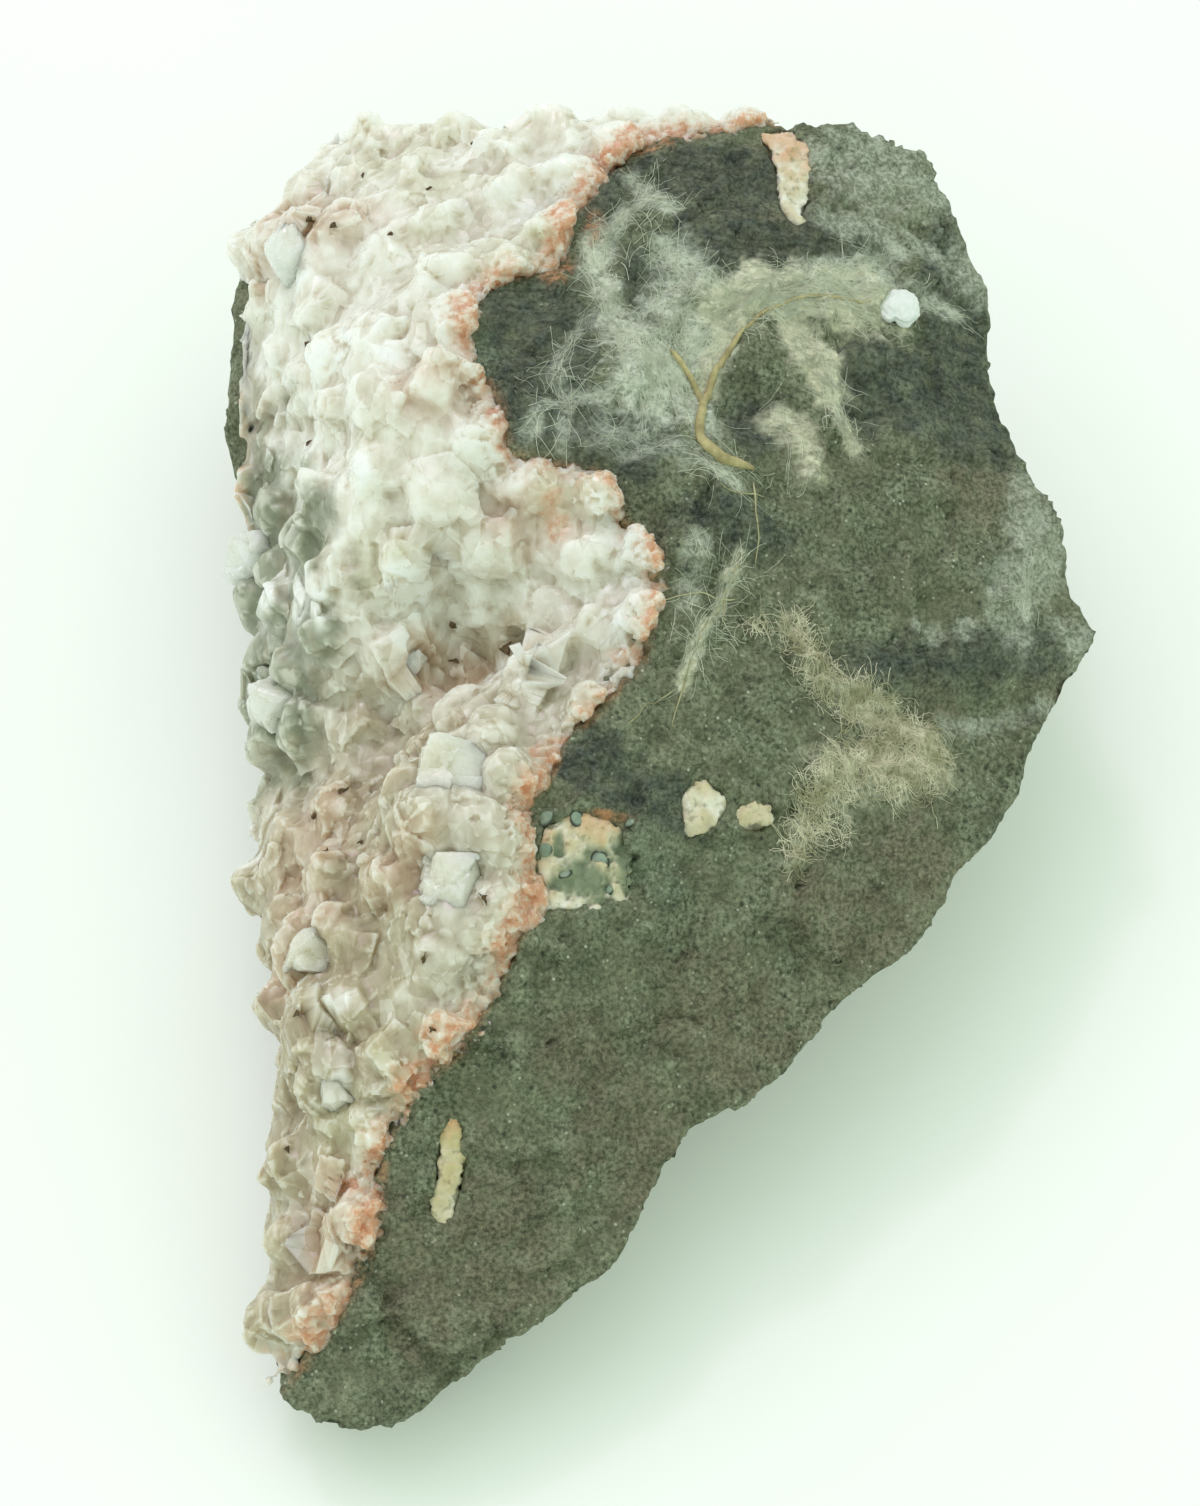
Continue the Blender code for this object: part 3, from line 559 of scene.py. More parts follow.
def milky_stilbite():
    """Milky stilbite, grown in stacked plates: light sinks a few millimetres into it and comes out
    soft, white at the tips and honey pink in the depth, stained by iron oxide at the basalt; with
    painted highlights on its edges and bright faces and painted shade in its hollows and creases."""
    material, tree, shader, at = new_material("milky stilbite, grown in plates")
    veil = blotches(tree, at, 5, 5, (0.35, 0.65), rough=0.62)
    # Flat cracks and cleavage planes inside the crystals, each reflecting a little more or less.
    bend = add(tree, "TexNoise", {"Vector": at, "Scale": per_mm(5), "Detail": 1})["Color"]
    bent = add(tree, "VectorMath", (bend, (1.5 * MM,) * 3, at), operation="MULTIPLY_ADD")[0]
    flat = {"Vector": bent, "Rotation": (0.3, 0.5, 0.2), "Scale": (1.0, 0.45, 0.8)}
    cells = {"Vector": add(tree, "Mapping", flat)[0], "Scale": per_mm(2.3)}
    plane, chance, _ = add(tree, "SeparateColor", (add(tree, "TexVoronoi", cells)["Color"],))
    gap = add(tree, "TexVoronoi", cells, feature="DISTANCE_TO_EDGE")["Distance"]
    seam = add(tree, "MapRange", (gap, 0.05, 0.0))[0]
    # Flakes on the faces: across each one, the height rises in a way of its own.
    flakes = add(tree, "TexVoronoi", {"Vector": at, "Scale": per_mm(1.5)})
    lean = add(tree, "VectorMath", (flakes["Color"], (0.5, 0.5, 0.5)), operation="SUBTRACT")[0]
    offset = add(tree, "VectorMath", (at, flakes["Position"]), operation="SUBTRACT")[0]
    tilted = add(tree, "VectorMath", (lean, offset), operation="DOT_PRODUCT")["Value"]

    # What is painted on the crust, and how far up its crystal each place seems to be, 0 to 1: high where
    # the crust stands out, so whiter on the crystal tips and, as painted shade, darker in its hollows.
    painted = {
        name: add(tree, "Attribute", (), attribute_name=name)["Fac"]
        for name in "tip tone low pink yellow grey rust edge crease bright dirt".split()
    }
    height = -0.15
    for part, weight, clamped in (
        (painted["tip"], 0.45, False), (veil, 0.55, False), (plane, 0.3, True), (seam, 0.1, True),
    ):
        inputs = (part, weight, height)
        height = add(tree, "Math", inputs, operation="MULTIPLY_ADD", use_clamp=clamped)[0]
    # The milky mass and its patches: the foot of a dull and of a bright crystal, then their tips.
    crystal = "ffffff"
    for name, *shades in (
        (None, "d4ccb9", "e2dccf", "f4f2ec", "fbfbf9"),
        ("low", "98866b", "a99c80", "b9ad91", "cac1aa"),
        ("pink", "b98e70", "b98e70", "dcc6b4", "dcc6b4"),
        ("yellow", "aba079", "aba079", "d8d4b6", "d8d4b6"),
        ("grey", "848773", "848773", "a1a490", "a1a490"),
    ):
        pairs = (shades[:2], shades[2:])
        foot, top = (layered(tree, dull, (painted["tone"], bright)) for dull, bright in pairs)
        share = painted[name] if name else 1.0
        crystal = layered(tree, crystal, (share, layered(tree, foot, (height, top))))

    # Iron oxide soaked in along the basalt.
    stain = blotches(tree, at, 1.4, 4, (0.38, 0.6), (0.45, 1.2), 0.7)
    rusty = add(tree, "Math", (painted["rust"], stain), operation="MULTIPLY", use_clamp=True)[0]
    rusty = add(tree, "Math", (rusty, 0.85), operation="MULTIPLY")[0]
    # Here and there a cleavage plane lies square to the light, or lets the honey depth show.
    glint = add(tree, "MapRange", (chance, 0.88, 0.94, 0, 0.28))[0]
    window = add(tree, "MapRange", (chance, 0.14, 0.08, 0, 0.25))[0]
    crack_line = add(tree, "MapRange", (gap, 0.035, 0.012, 0, 0.4))[0]
    crack_here = blotches(tree, at, 7, 2, (0.6, 0.72), rough=0.5)
    crack = add(tree, "Math", (crack_here, crack_line), operation="MULTIPLY")[0]
    # Painted highlight: a light line along the sharp edges of the crust.
    edge = add(tree, "Math", (painted["edge"], 0.45), operation="MULTIPLY")[0]
    # Painted shade: darker in the creases of the crust.
    crease = add(tree, "Math", (painted["crease"], 0.3), operation="MULTIPLY")[0]
    # Painted highlights on the edges, bright faces and glints, painted shade in the creases, then honey
    # windows, rust, cracks and the darker gaps.
    crystal = layered(
        tree, crystal, (edge, "f2f1ea"), (crease, "c9b28c", "MULTIPLY"), (painted["bright"], "fbfcfa"),
        (glint, "f8f6ee"), (window, "a89474"), (rusty, layered(tree, "ecc8ab", (rusty, "cb8154"))),
        # The cracks, then the darker gaps: partly soil, partly painted shade.
        (crack, "8a7350"), (painted["dirt"], "8a7350"),
    )

    growth = {"Vector": at, "Rotation": (0.2, 0.1, 0.35), "Scale": (1.5, 0.22, 0.5)}
    lines = blotches(tree, add(tree, "Mapping", growth)[0], 1, 3, rough=0.5)
    bump = add(tree, "Bump", {"Height": lines, "Strength": 0.3, "Distance": 0.2 * MM})[0]
    tilts = {"Height": tilted, "Strength": 0.45, "Distance": 1.0, "Normal": bump}
    feed(tree, shader, {
        "Base Color": crystal, "Normal": add(tree, "Bump", tilts)[0], "Roughness": 0.26, "IOR": 1.5,
        "Subsurface Weight": 1.0, "Subsurface Radius": (1.0, 0.98, 0.94), "Subsurface Scale": 5.0 * MM,
        "Coat Weight": 0.15, "Coat Roughness": 0.12,
    })
    return material


def clear_apophyllite():
    """Apophyllite, clear with a pearly haze: light passes through, white cleavage cracks stop it."""
    material, tree, shader, at = new_material("clear apophyllite, natural faces")
    haze = add(tree, "TexNoise", {"Vector": at, "Scale": per_mm(2.5), "Detail": 4, "Roughness": 0.7})["Fac"]
    share = add(tree, "MapRange", (haze, 0.38, 0.62))[0]
    rough = add(tree, "MapRange", (haze, 0.35, 0.7, 0.08, 0.3))[0]
    bump = add(tree, "Bump", {"Height": haze, "Strength": 0.3, "Distance": 0.4 * MM})[0]
    low = add(tree, "Attribute", (), attribute_name="low")["Fac"]
    body = layered(tree, "e9ebe0", (share, "f8f9f4"), (low, layered(tree, "dcd6c4", (share, "f1ede0"))))
    feed(tree, shader, {
        "Base Color": body, "Roughness": rough, "Normal": bump, "IOR": 1.535, "Transmission Weight": 0.12,
        "Subsurface Weight": 1.0, "Subsurface Radius": (1.0, 0.98, 0.94), "Subsurface Scale": 4.0 * MM,
    })
    depth = add(tree, "VolumeAbsorption", {"Color": colour("eef3ea"), "Density": 6.0})[0]
    feed(tree, tree.nodes["Material Output"], {"Volume": depth})
    return material


def cream_zeolite():
    """Cream zeolite filling, fine-grained and broken across: chalky white with rusty stains."""
    material, tree, shader, at = new_material("cream zeolite, broken across")
    blotch = blotches(tree, at, 2.5, 4, (0.38, 0.62), rough=0.6)
    dirt = add(tree, "TexNoise", {"Vector": at, "Scale": per_mm(1.1), "Detail": 3})["Fac"]
    dirty = add(tree, "MapRange", (dirt, 0.58, 0.7, 0, 0.6))[0]
    cream, rust, green = (
        add(tree, "Attribute", (), attribute_name=name)["Fac"] for name in ("cream", "rust", "green")
    )
    clay = layered(tree, "56634e", (dirt, "a3ae8f"))
    mass = layered(
        tree, "d6ccaf", (blotch, "f1eee2"), (cream, "cdbf92"), (rust, "dfa077"), (green, clay),
        (dirty, "8d8a6a"),
    )
    bump = add(tree, "Bump", {"Height": dirt, "Strength": 0.5, "Distance": 0.4 * MM})[0]
    feed(tree, shader, {
        "Base Color": mass, "Normal": bump, "Roughness": 0.75, "Subsurface Weight": 0.4,
        "Subsurface Radius": (1.0, 0.8, 0.6), "Subsurface Scale": 0.8 * MM,
    })
    return material


def papery_cocoon():
    """Spider silk, felted into a white disc: matt, in soft folds that catch the light."""
    material, tree, shader, at = new_material("felted white silk")
    felt = blotches(tree, at, 0.8, 4, rough=0.7)
    bump = add(tree, "Bump", {"Height": felt, "Strength": 0.6, "Distance": 0.3 * MM})[0]
    silk = layered(tree, "d3ded8", (felt, "ffffff"))
    feed(tree, shader, {"Base Color": silk, "Normal": bump, "Roughness": 0.9})
    return material


def dry_fibre(name, dark, light, size):
    """Dead plant fibre, dried on the stone: matt, its colour changing along and between strands."""
    material, tree, shader, at = new_material(name)
    share = blotches(tree, at, size, 3, (0.35, 0.65), rough=0.7)
    feed(tree, shader, {"Base Color": layered(tree, dark, (share, light)), "Roughness": 0.85})
    return material


def dry_soil_and_shade():
    """Dry soil, dark and matt, trapped between the crystals since they were dug up; its darkness
    also stands in for the shade in the deep gaps.
    """
    material, tree, shader, at = new_material("dry soil in the gaps")
    crumb = blotches(tree, at, 0.5, 3, rough=0.5)
    feed(tree, shader, {"Base Color": layered(tree, "2a1f12", (crumb, "7a6446")), "Roughness": 0.95})
    return material


def green_amygdule():
    """Grey-green chalcedony that fills old gas bubbles: dull and waxy, nearly black at its rim."""
    material, tree, shader, at = new_material("grey-green chalcedony, bubble filling")
    wax = blotches(tree, at, 0.9, 3, rough=0.5)
    rim = add(tree, "Attribute", (), attribute_name="rim")["Fac"]
    tone = layered(tree, "5f7466", (wax, "a9baa6"), (rim, "333a2e"))
    feed(tree, shader, {"Base Color": tone, "Roughness": 0.55})
    return material


# ---------------------------------------------------------------- the basalt

BASALT_VOXEL = 0.8


def ledge_shift(places):
    """A sharp step across the right side: the near side of the line lies lower."""
    distance, nearest = line_distance(places, LEDGE)
    beyond = (places[:, 1] - nearest[:, 1] > 0) * 2.0 - 1.0
    side = np.clip(distance * beyond / 0.9, -1, 1)
    fade = 1 - smooth_step(2.0, LEDGE_REACH, distance)
    return side * fade * LEDGE_STEP / 2


def basalt_rock():
    """The rock as the hammer broke it, in facets, with the colours that lie on it."""
    mesh = voxel_mesh(node_shape("basalt_matrix"), "basalt", BASALT_VOXEL, 7)
    places, facings = mesh_places(mesh), mesh_facings(mesh)
    rough = np.array([noise.fractal(Vector(place) / 1.9, 0.9, 2.0, 3) for place in places])
    rise = facets(places, (8.5, 0.35, 0.06), (3.1, 0.45, 0.10)) + 0.16 * rough
    foot = places[:, 2] < 0.15
    rise *= 0.35 + 0.65 * smooth_step(0.15, 0.6, np.abs(facings[:, 2]))
    rise += forms(places, BASALT_FORMS) * (facings[:, 2] > 0.3)
    places += facings * rise[:, None]
    places[:, 2] += ledge_shift(places) * (facings[:, 2] > 0.2)
    places[:, 2] = np.where(foot, 0, np.maximum(places[:, 2], 0.05))
    move_points(mesh, places)

    upper = smooth_step(-0.1, 0.35, facings[:, 2]) * smooth_step(6, 14, places[:, 2])
    wobble = wobble_of(places, 5.0)
    ragged = 0.6 * wobble + 0.8 * wobble_of(places, 2.2, 4.0)
    to_contact, _ = line_distance(places, CONTACT)
    at_contact = (1 - smooth_step(0.2, 1.4, to_contact + 0.5 * wobble)) * 0.5
    moss = np.maximum(bands(places, MOSS_BANDS, ragged, 0.7), bands(places, MAT_BANDS, ragged, 0.9))
    for name, share in (
        # Dark: weathered patches, and painted shade in the hollows and beside the ledge.
        ("dark", np.maximum(patches(places, DARK_STONE_AND_SHADE, ragged), bands(places, LEDGE_SHADE_BANDS, ragged))),
        ("pale", np.maximum(patches(places, PALE_STONE, ragged), bands(places, PALE_BANDS, ragged))),
        ("green", patches(places, GREEN_CLAY, ragged)),
        ("brown", patches(places, BROWN_STONE, ragged)),
        ("fibre", bands(places, WEB_BANDS, ragged, 0.8)),
        ("moss", moss),
        ("rust", np.maximum(patches(places, RUSTY_STONE, wobble), at_contact)),
    ):
        paint(mesh, name, share * upper)
    return mesh


# ---------------------------------------------------------------- crystal shapes


def block(width, depth, corner, taper=(1.0, 1.0)):
    """One closed crystal of height 1 that stands on the origin, with bevelled sides and top."""
    bm = bmesh.new()
    bmesh.ops.create_cube(bm, size=1)
    for vert in bm.verts:
        if vert.co.z > 0:
            vert.co.x *= taper[0]
            vert.co.y *= taper[1]
    bmesh.ops.translate(bm, vec=(0, 0, 0.5), verts=bm.verts)
    bmesh.ops.scale(bm, vec=(width, depth, 1), verts=bm.verts)
    edges = [edge for edge in bm.edges if max(vert.co.z for vert in edge.verts) > 0.5]
    bmesh.ops.bevel(
        bm, geom=edges, offset=corner * min(width, depth), segments=1, profile=0.5,
        affect="EDGES", material=-1,
    )
    return bm


def cut_corners(bm, rng, corners, low, high):
    """Breaks corners away along flat cleavage faces, each cut at some share of the way out."""
    middle = sum((vert.co for vert in bm.verts), Vector()) / len(bm.verts)
    for corner in corners:
        way = nudged(rng, (corner - middle).normalized(), 0.25)
        cut = middle + way * ((corner - middle).dot(way) * rng.uniform(low, high))
        result = bmesh.ops.bisect_plane(
            bm, geom=bm.verts[:] + bm.edges[:] + bm.faces[:], plane_co=cut, plane_no=way, clear_outer=True
        )
        edges = [part for part in result["geom_cut"] if isinstance(part, bmesh.types.BMEdge)]
        if edges:
            bmesh.ops.contextual_create(bm, geom=edges)
    bmesh.ops.recalc_face_normals(bm, faces=bm.faces)


def broken_block(rng):
    """A block whose top broke along several cleavage faces."""
    bm = block(1, 1, 0.04, (rng.uniform(0.8, 1.0), rng.uniform(0.8, 1.0)))
    top = [Vector((x, y, 1)) for x in (-0.5, 0.5) for y in (-0.5, 0.5)]
    cut_corners(bm, rng, rng.sample(top, rng.randint(3, 4)), 0.65, 0.9)
    return bm


def shape_arrays(bm):
    """Points and faces of a small shape, to be repeated."""
    points = np.array([vert.co for vert in bm.verts])
    faces = [[vert.index for vert in face.verts] for face in bm.faces]
    bm.free()
    return points, faces


def crystal_shapes():
    """The shapes that crystals and grains are picked from."""
    rng = random.Random(5)
    shapes = {
        "block": [shape_arrays(broken_block(rng)) for _ in range(14)],
        "lobe": [shape_arrays(block(1, 1, 0.36, (0.95, 0.9)))],
        "blade": [shape_arrays(block(1, 1, 0.12, (taper, 0.6))) for taper in (0.5, 0.65, 0.8)],
        "tooth": [],
    }
    for _ in range(5):
        taper = (rng.uniform(0.15, 0.45), rng.uniform(0.3, 0.6))
        shapes["tooth"].append(shape_arrays(block(1, 1, rng.uniform(0.1, 0.2), taper)))
    return shapes


def stand(place, length_way, width_way, size, sink):
    """The matrix that gives a shape its width, depth and length and stands it on a place along
    two directions, sunk in this far."""
    z = length_way.normalized()
    y = z.cross(width_way).normalized()
    x = y.cross(z)
    turn = Matrix((x, y, z)).transposed().to_4x4()
    return Matrix.Translation(place - z * sink) @ turn @ Matrix.Diagonal((*size, 1))


def grown(rows):
    """One mesh from many crystals, each a shape and its matrix."""
    points, faces, count = [], [], 0
    for (shape, corners), matrix in rows:
        turn = np.array(matrix)
        points.append(shape @ turn[:3, :3].T + turn[:3, 3])
        faces += [[count + corner for corner in face] for face in corners]
        count += len(shape)
    mesh = bpy.data.meshes.new("crystals")
    mesh.from_pydata((np.concatenate(points) * MM).tolist(), [], faces)
    mesh.update()
    return mesh


# ---------------------------------------------------------------- where crystals stand

# Where the parts of the crust begin and end, and the share of the way to the contact from which
# it broke across.
TOE_END, TOP_NEAR, SECTION_FAR = -52, 45, 64
GLASSY_EDGE, GLASSY_NEAR, GLASSY_FAR = -42, -8, 34
SECTION_START = 0.12


def open_places(mesh, count, rock_tree, seed):
    """Random places all over the crust that no basalt covers, and how each one faces."""
    mesh.calc_loop_triangles()
    places = mesh_places(mesh)
    corners = np.array([triangle.vertices for triangle in mesh.loop_triangles])
    a, b, c = (places[corners[:, i]] for i in range(3))
    normals = np.cross(b - a, c - a)
    areas = np.linalg.norm(normals, axis=1) / 2
    rng = np.random.default_rng(seed)
    chosen = rng.choice(len(areas), count, p=areas / areas.sum())
    share = np.sort(rng.random((count, 2)), axis=1)
    spots = (
        a[chosen] * share[:, :1]
        + b[chosen] * (share[:, 1:] - share[:, :1])
        + c[chosen] * (1 - share[:, 1:])
    )
    facings = normals[chosen] / (2 * areas[chosen, None])
    kept = []
    for spot, facing in zip(spots, facings):
        place, out = Vector(spot), Vector(facing)
        if rock_tree.ray_cast(place + out * 0.2, out, 6.0)[0] is None:
            kept.append((place, out))
    return kept


def thinned(candidates, spacing_of):
    """Keeps candidates in their order where no kept one lies within the spacing there."""
    kept, spots = [], np.zeros((0, 3))
    for place, out in candidates:
        spacing = spacing_of(place)
        if len(spots) and np.min(np.sum((spots - np.array(place)) ** 2, axis=1)) < spacing**2:
            continue
        kept.append((place, out))
        spots = np.vstack([spots, place])
    return kept


def section_share(x, y):
    """0 on the crest, 1 on the contact, below 0 on the left flank."""
    crest, contact = (
        np.interp(y, *zip(*sorted((row_y, row_x) for row_x, row_y in line))) for line in (CREST, CONTACT)
    )
    return (x - crest) / np.maximum(contact - crest, 2.0)


def zone_of(place):
    """The part of the crust that a place is in, as GROWTH names them: the near toe, the glassy
    left edge, the section where it broke across, the top at the far end or the left flank."""
    if place.y < TOE_END:
        return "toe"
    if place.x < GLASSY_EDGE and GLASSY_NEAR < place.y < GLASSY_FAR:
        return "glassy"
    if section_share(place.x, place.y) > SECTION_START and place.y < SECTION_FAR:
        return "section"
    return "top" if place.y > TOP_NEAR else "flank"


# ---------------------------------------------------------------- the crystal crust

BED_VOXEL, CRUST_VOXEL, CHIPPED_VOXEL = 0.6, 0.32, 0.3
CRUST_TRIANGLES = 196000
CHIPPED_SHARE = 0.35  # a clear crystal keeps this share of its triangles
MOST_CHIPS = 8  # corners that broke off it
PLACES_TRIED = 20000  # at random, for a crystal to stand on

# How the crystals stand in each part of the crust: spacing, widths, depths, how far their tops
# rise above the crust, how much that varies and how far they lean.
GROWTH = {
    "top": (5.2, (7.0, 12.0), (5.5, 9.5), 0.1, 0.4, 0.12),
    "flank": (4.0, (5.0, 9.5), (4.0, 7.5), 0.3, 0.4, 0.1),
    "toe": (3.2, (4.2, 7.5), (3.2, 5.6), 0.3, 0.35, 0.1),
    "glassy": (8.5, (7.0, 11.0), (4.0, 6.5), 0.1, 0.4, 0.12),
    "section": (7.0, (8.0, 14.0), (7.0, 12.0), 0.0, 0.3, 0.08),
}
RELIEF = 0.45  # the crystals broke nearly level: how much of their height is left
HIGHEST = 1.7  # and none stands further than this out of the mass
# The way their widths lie: the middle and the spread of an angle from +Y, in radians.
WAY_OF_WIDTH = {"flank": (0, 0.45), "toe": (0, 0.45), "glassy": (-0.6, 0.35)}
# No crystal stands lower, nearer or further left than this, or on the bare strip at the left edge,
# and beside that strip they are half as wide.
LOWEST, NEAREST, LEFTMOST = 13, -84, -57
BARE_LEFT, BARE_NEAR, BARE_FAR = -54.5, 30, 68
SLIGHT_LEFT, SLIGHT_NEAR, SLIGHT_FAR = -47, 36, 70
# No block stands this close to the basalt; over the last stretch before the tip it is less.
BLOCK_FREE, TIP, NARROWING = 9.0, -92, 60
CRYSTAL_LENGTH = 7.0  # most of it inside the mass
# How far the crust rises round each of the clear crystals.
SWELLS = (1.5, 3.2, 3.0, 2.6, 2.2, 2.0, 1.2, 2.6, 3.0)
# Where the basalt shows bare along the left edge: rows along Y, and how far left the crust comes
# in each.
BARE_EDGE = ((36, 42, 58, 64), (-63, -57.5, -57.5, -63))
STREAKS = (1.6, 2.2, 1.6)  # size of the streaks in the mass, along each axis
RIM_LIFT, RIM_REACH = 0.2, 0.9  # how far the crust's edge rises and spreads over the basalt
GRAIN_SPACING, GRAINS_END = 0.42, -86  # the grains along that edge, and where they end
CREASE_REACH, TIP_REACH = 3, 20  # how often the crust is smoothed to find its creases and its tips
CRUMBLE = 0.3  # how uneven the soil is
TONE_REACH = 5  # further than this from the top of a crystal, the mass has no tone of its own


def crystal_patches(places, wobble):
    """The colours of the crystals at each place: how pink, yellow, grey, low and rusty they are."""
    to_contact, _ = line_distance(places, CONTACT)
    fine = wobble_of(places, 1.6, 5.0)
    share = section_share(places[:, 0], places[:, 1])
    inward = np.where(share > 1, -0.4, 1.0) * to_contact
    broad = wobble_of(places, 11.0, 9.0)
    wide = smooth_step(46, 58, places[:, 1]) + 0.5 * smooth_step(-56, -66, places[:, 1])
    rust = 1 - smooth_step(-0.6, 2.8, inward - wide + 1.6 * broad + 1.1 * wobble + 1.1 * fine)
    rust = np.maximum(rust, 0.75 * patches(places, RUST_SPOTS, wobble + 0.8 * fine, 0.8))
    flank = 1 - smooth_step(-0.05, 0.35, share + 0.15 * wobble)
    south = 1 - smooth_step(-22, 22, places[:, 1] + 6 * wobble)
    return {
        "pink": patches(places, PINK_CRYSTAL, wobble) * 0.5,
        "yellow": patches(places, YELLOW_CRYSTAL, wobble) * 0.45,
        "grey": patches(places, GREY_CRYSTAL, wobble),
        "rust": np.clip(rust, 0, 1),
        "low": np.maximum(south * (0.58 + 0.42 * flank), patches(places, HONEY_CRYSTAL, wobble) * 0.8),
    }


def crystal_bed():
    """The mass between the crystals: lumpy where it broke across, ragged at the basalt."""
    mesh = voxel_mesh(node_shape("stilbite_druse"), "bed", BED_VOXEL, 3)
    level = smoothed(mesh, 26)
    places, calm = mesh_places(mesh), mesh_places(level)
    facings = mesh_facings(level)
    bpy.data.meshes.remove(level)
    to_contact, nearest = line_distance(places, CONTACT)
    near_rim = 1 - smooth_step(0.4, 2.0, to_contact)
    places = calm + (places - calm) * near_rim[:, None]
    share = section_share(places[:, 0], places[:, 1])
    section = smooth_step(-0.05, 0.3, share)
    lumps = wobble_of(places, 7.5, 1.0)
    streaks = np.array([noise.noise(Vector(place)) for place in places / STREAKS]) * 0.1
    broken = facets(places, (12, 0.28, 0.05), (4.2, 0.17, 0.03))
    rise = section * (lumps * 0.5 + streaks + broken) + (1 - section) * (lumps * 0.4 + broken - 0.5)
    upward = facings[:, 2] > 0.1
    rise += forms(places, CRUST_FORMS) * upward
    for number, swell in enumerate(SWELLS, 1):
        low, high = (np.array(corner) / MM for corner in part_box(f"apophyllite_crystal_{number}"))
        reach = np.linalg.norm((places - (low + high) / 2) / (high - low) * 2, axis=1)
        rise += swell * (1 - smooth_step(1.0, 2.1, reach)) * smooth_step(0.2, 0.6, reach)
    for x, y, radius, depth in HOLES:
        sides = [
            (places[:, 0] - x) * math.cos(angle) + (places[:, 1] - y) * math.sin(angle)
            for angle in HOLE_SIDES
        ]
        rise -= depth * (1 - smooth_step(0.6, 1.0, np.max(sides, axis=0) / radius)) * upward
    at_rim = (1 - smooth_step(1.2, 3.5, to_contact)) * smooth_step(-87, -80, places[:, 1])
    move = facings * (rise * (1 - 0.7 * at_rim) + RIM_LIFT * at_rim)[:, None]
    outward = np.zeros_like(places)
    outward[:, :2] = places[:, :2] - nearest
    outward /= np.maximum(np.linalg.norm(outward, axis=1), 0.01)[:, None]
    ragged = wobble_of(places, 3.4, 6.0) * 0.9 + wobble_of(places, 1.5, 2.0) * 0.7 + RIM_REACH
    outer = (share > 1).astype(float) * 2 - 1
    move += outward * (ragged * at_rim * outer)[:, None]
    move_points(mesh, places + move)
    return mesh


def standing_crystals(bed_mesh, rock_tree, shapes):
    """Blocky stacked plates all over the flank, the top and the toe, their tops nearly level."""
    rng = random.Random(17)
    rows = []
    tried = open_places(bed_mesh, PLACES_TRIED, rock_tree, 3)
    for place, out in thinned(tried, lambda place: GROWTH[zone_of(place)][0]):
        zone = zone_of(place)
        if place.z < LOWEST or place.y < NEAREST or place.x < LEFTMOST:
            continue
        if place.x < BARE_LEFT and BARE_NEAR < place.y < BARE_FAR:
            continue
        free = BLOCK_FREE * min(1, (place.y - TIP) / NARROWING)
        if line_distance(np.array([place]), CONTACT)[0][0] < free:
            continue
        _, widths, depths, rise, change, spread = GROWTH[zone]
        share = 0.5 if place.x < SLIGHT_LEFT and SLIGHT_NEAR < place.y < SLIGHT_FAR else 1.0
        size = (rng.uniform(*widths) * share, rng.uniform(*depths) * share, CRYSTAL_LENGTH)
        way = nudged(rng, out, spread)
        angle = rng.gauss(*WAY_OF_WIDTH.get(zone, (0, 1.2)))
        width_way = Vector((math.sin(angle), math.cos(angle), 0.3))
        show = rise + change * rng.uniform(-1, 1)
        shape = rng.choice(shapes["block"])
        matrix = stand(place, way, width_way, size, CRYSTAL_LENGTH - show)
        rows.append((shape, matrix))
    for kind, place, way, width_way, (width, depth), show in LONE_CRYSTALS:
        size = (width, depth, CRYSTAL_LENGTH)
        shape = rng.choice(shapes[kind])
        matrix = stand(Vector(place), Vector(way), Vector(width_way), size, CRYSTAL_LENGTH - show)
        rows.append((shape, matrix))
    return rows


def rim_grains(rock_tree, shapes):
    """Grains along the edge of the crust, where it frayed as it broke off the basalt."""
    rng = random.Random(61)
    rows = []
    for (ax, ay), (bx, by) in zip(CONTACT, CONTACT[1:]):
        run = Vector((bx - ax, by - ay, 0))
        out = Vector((-run.y, run.x, 0)).normalized()
        for _ in range(round(run.length / GRAIN_SPACING)):
            spot = Vector((ax, ay, 0)) + run * rng.random()
            # The edge wanders out over the basalt here and draws back there.
            reach = 0.5 + 2.6 * noise.fractal(spot / 4.0, 0.9, 2.0, 3)
            spot += out * (min(max(reach, -0.5), 2.2) + rng.uniform(-1.4, 0.2))
            found = surface_at(rock_tree, spot.x, spot.y)
            if found is None or spot.y < GRAINS_END:
                continue
            size = (rng.uniform(0.6, 1.4), rng.uniform(0.6, 1.2), rng.uniform(1.2, 2.6))
            way = nudged(rng, out, 0.5)
            place = Vector((spot.x, spot.y, found[0].z + rng.uniform(-0.35, 0.1)))
            matrix = stand(place, way, Vector((0, 0, 1)).cross(way), size, size[2] * 0.6)
            rows.append((rng.choice(shapes["tooth"]), matrix))
    return rows


def largest_part(mesh):
    """The mesh without the crumbs that hang on nothing."""
    bm = bmesh.new()
    bm.from_mesh(mesh)
    bm.verts.ensure_lookup_table()
    part = [0] * len(bm.verts)
    sizes = [0]
    for first in bm.verts:
        if part[first.index]:
            continue
        sizes.append(0)
        part[first.index] = len(sizes) - 1
        waiting = [first]
        while waiting:
            point = waiting.pop()
            sizes[-1] += 1
            for edge in point.link_edges:
                other = edge.other_vert(point)
                if not part[other.index]:
                    part[other.index] = part[point.index]
                    waiting.append(other)
    largest = sizes.index(max(sizes))
    loose = [point for point in bm.verts if part[point.index] != largest]
    bmesh.ops.delete(bm, geom=loose, context="VERTS")
    bpy.data.meshes.remove(mesh)
    return finished_mesh(bm, "crust")


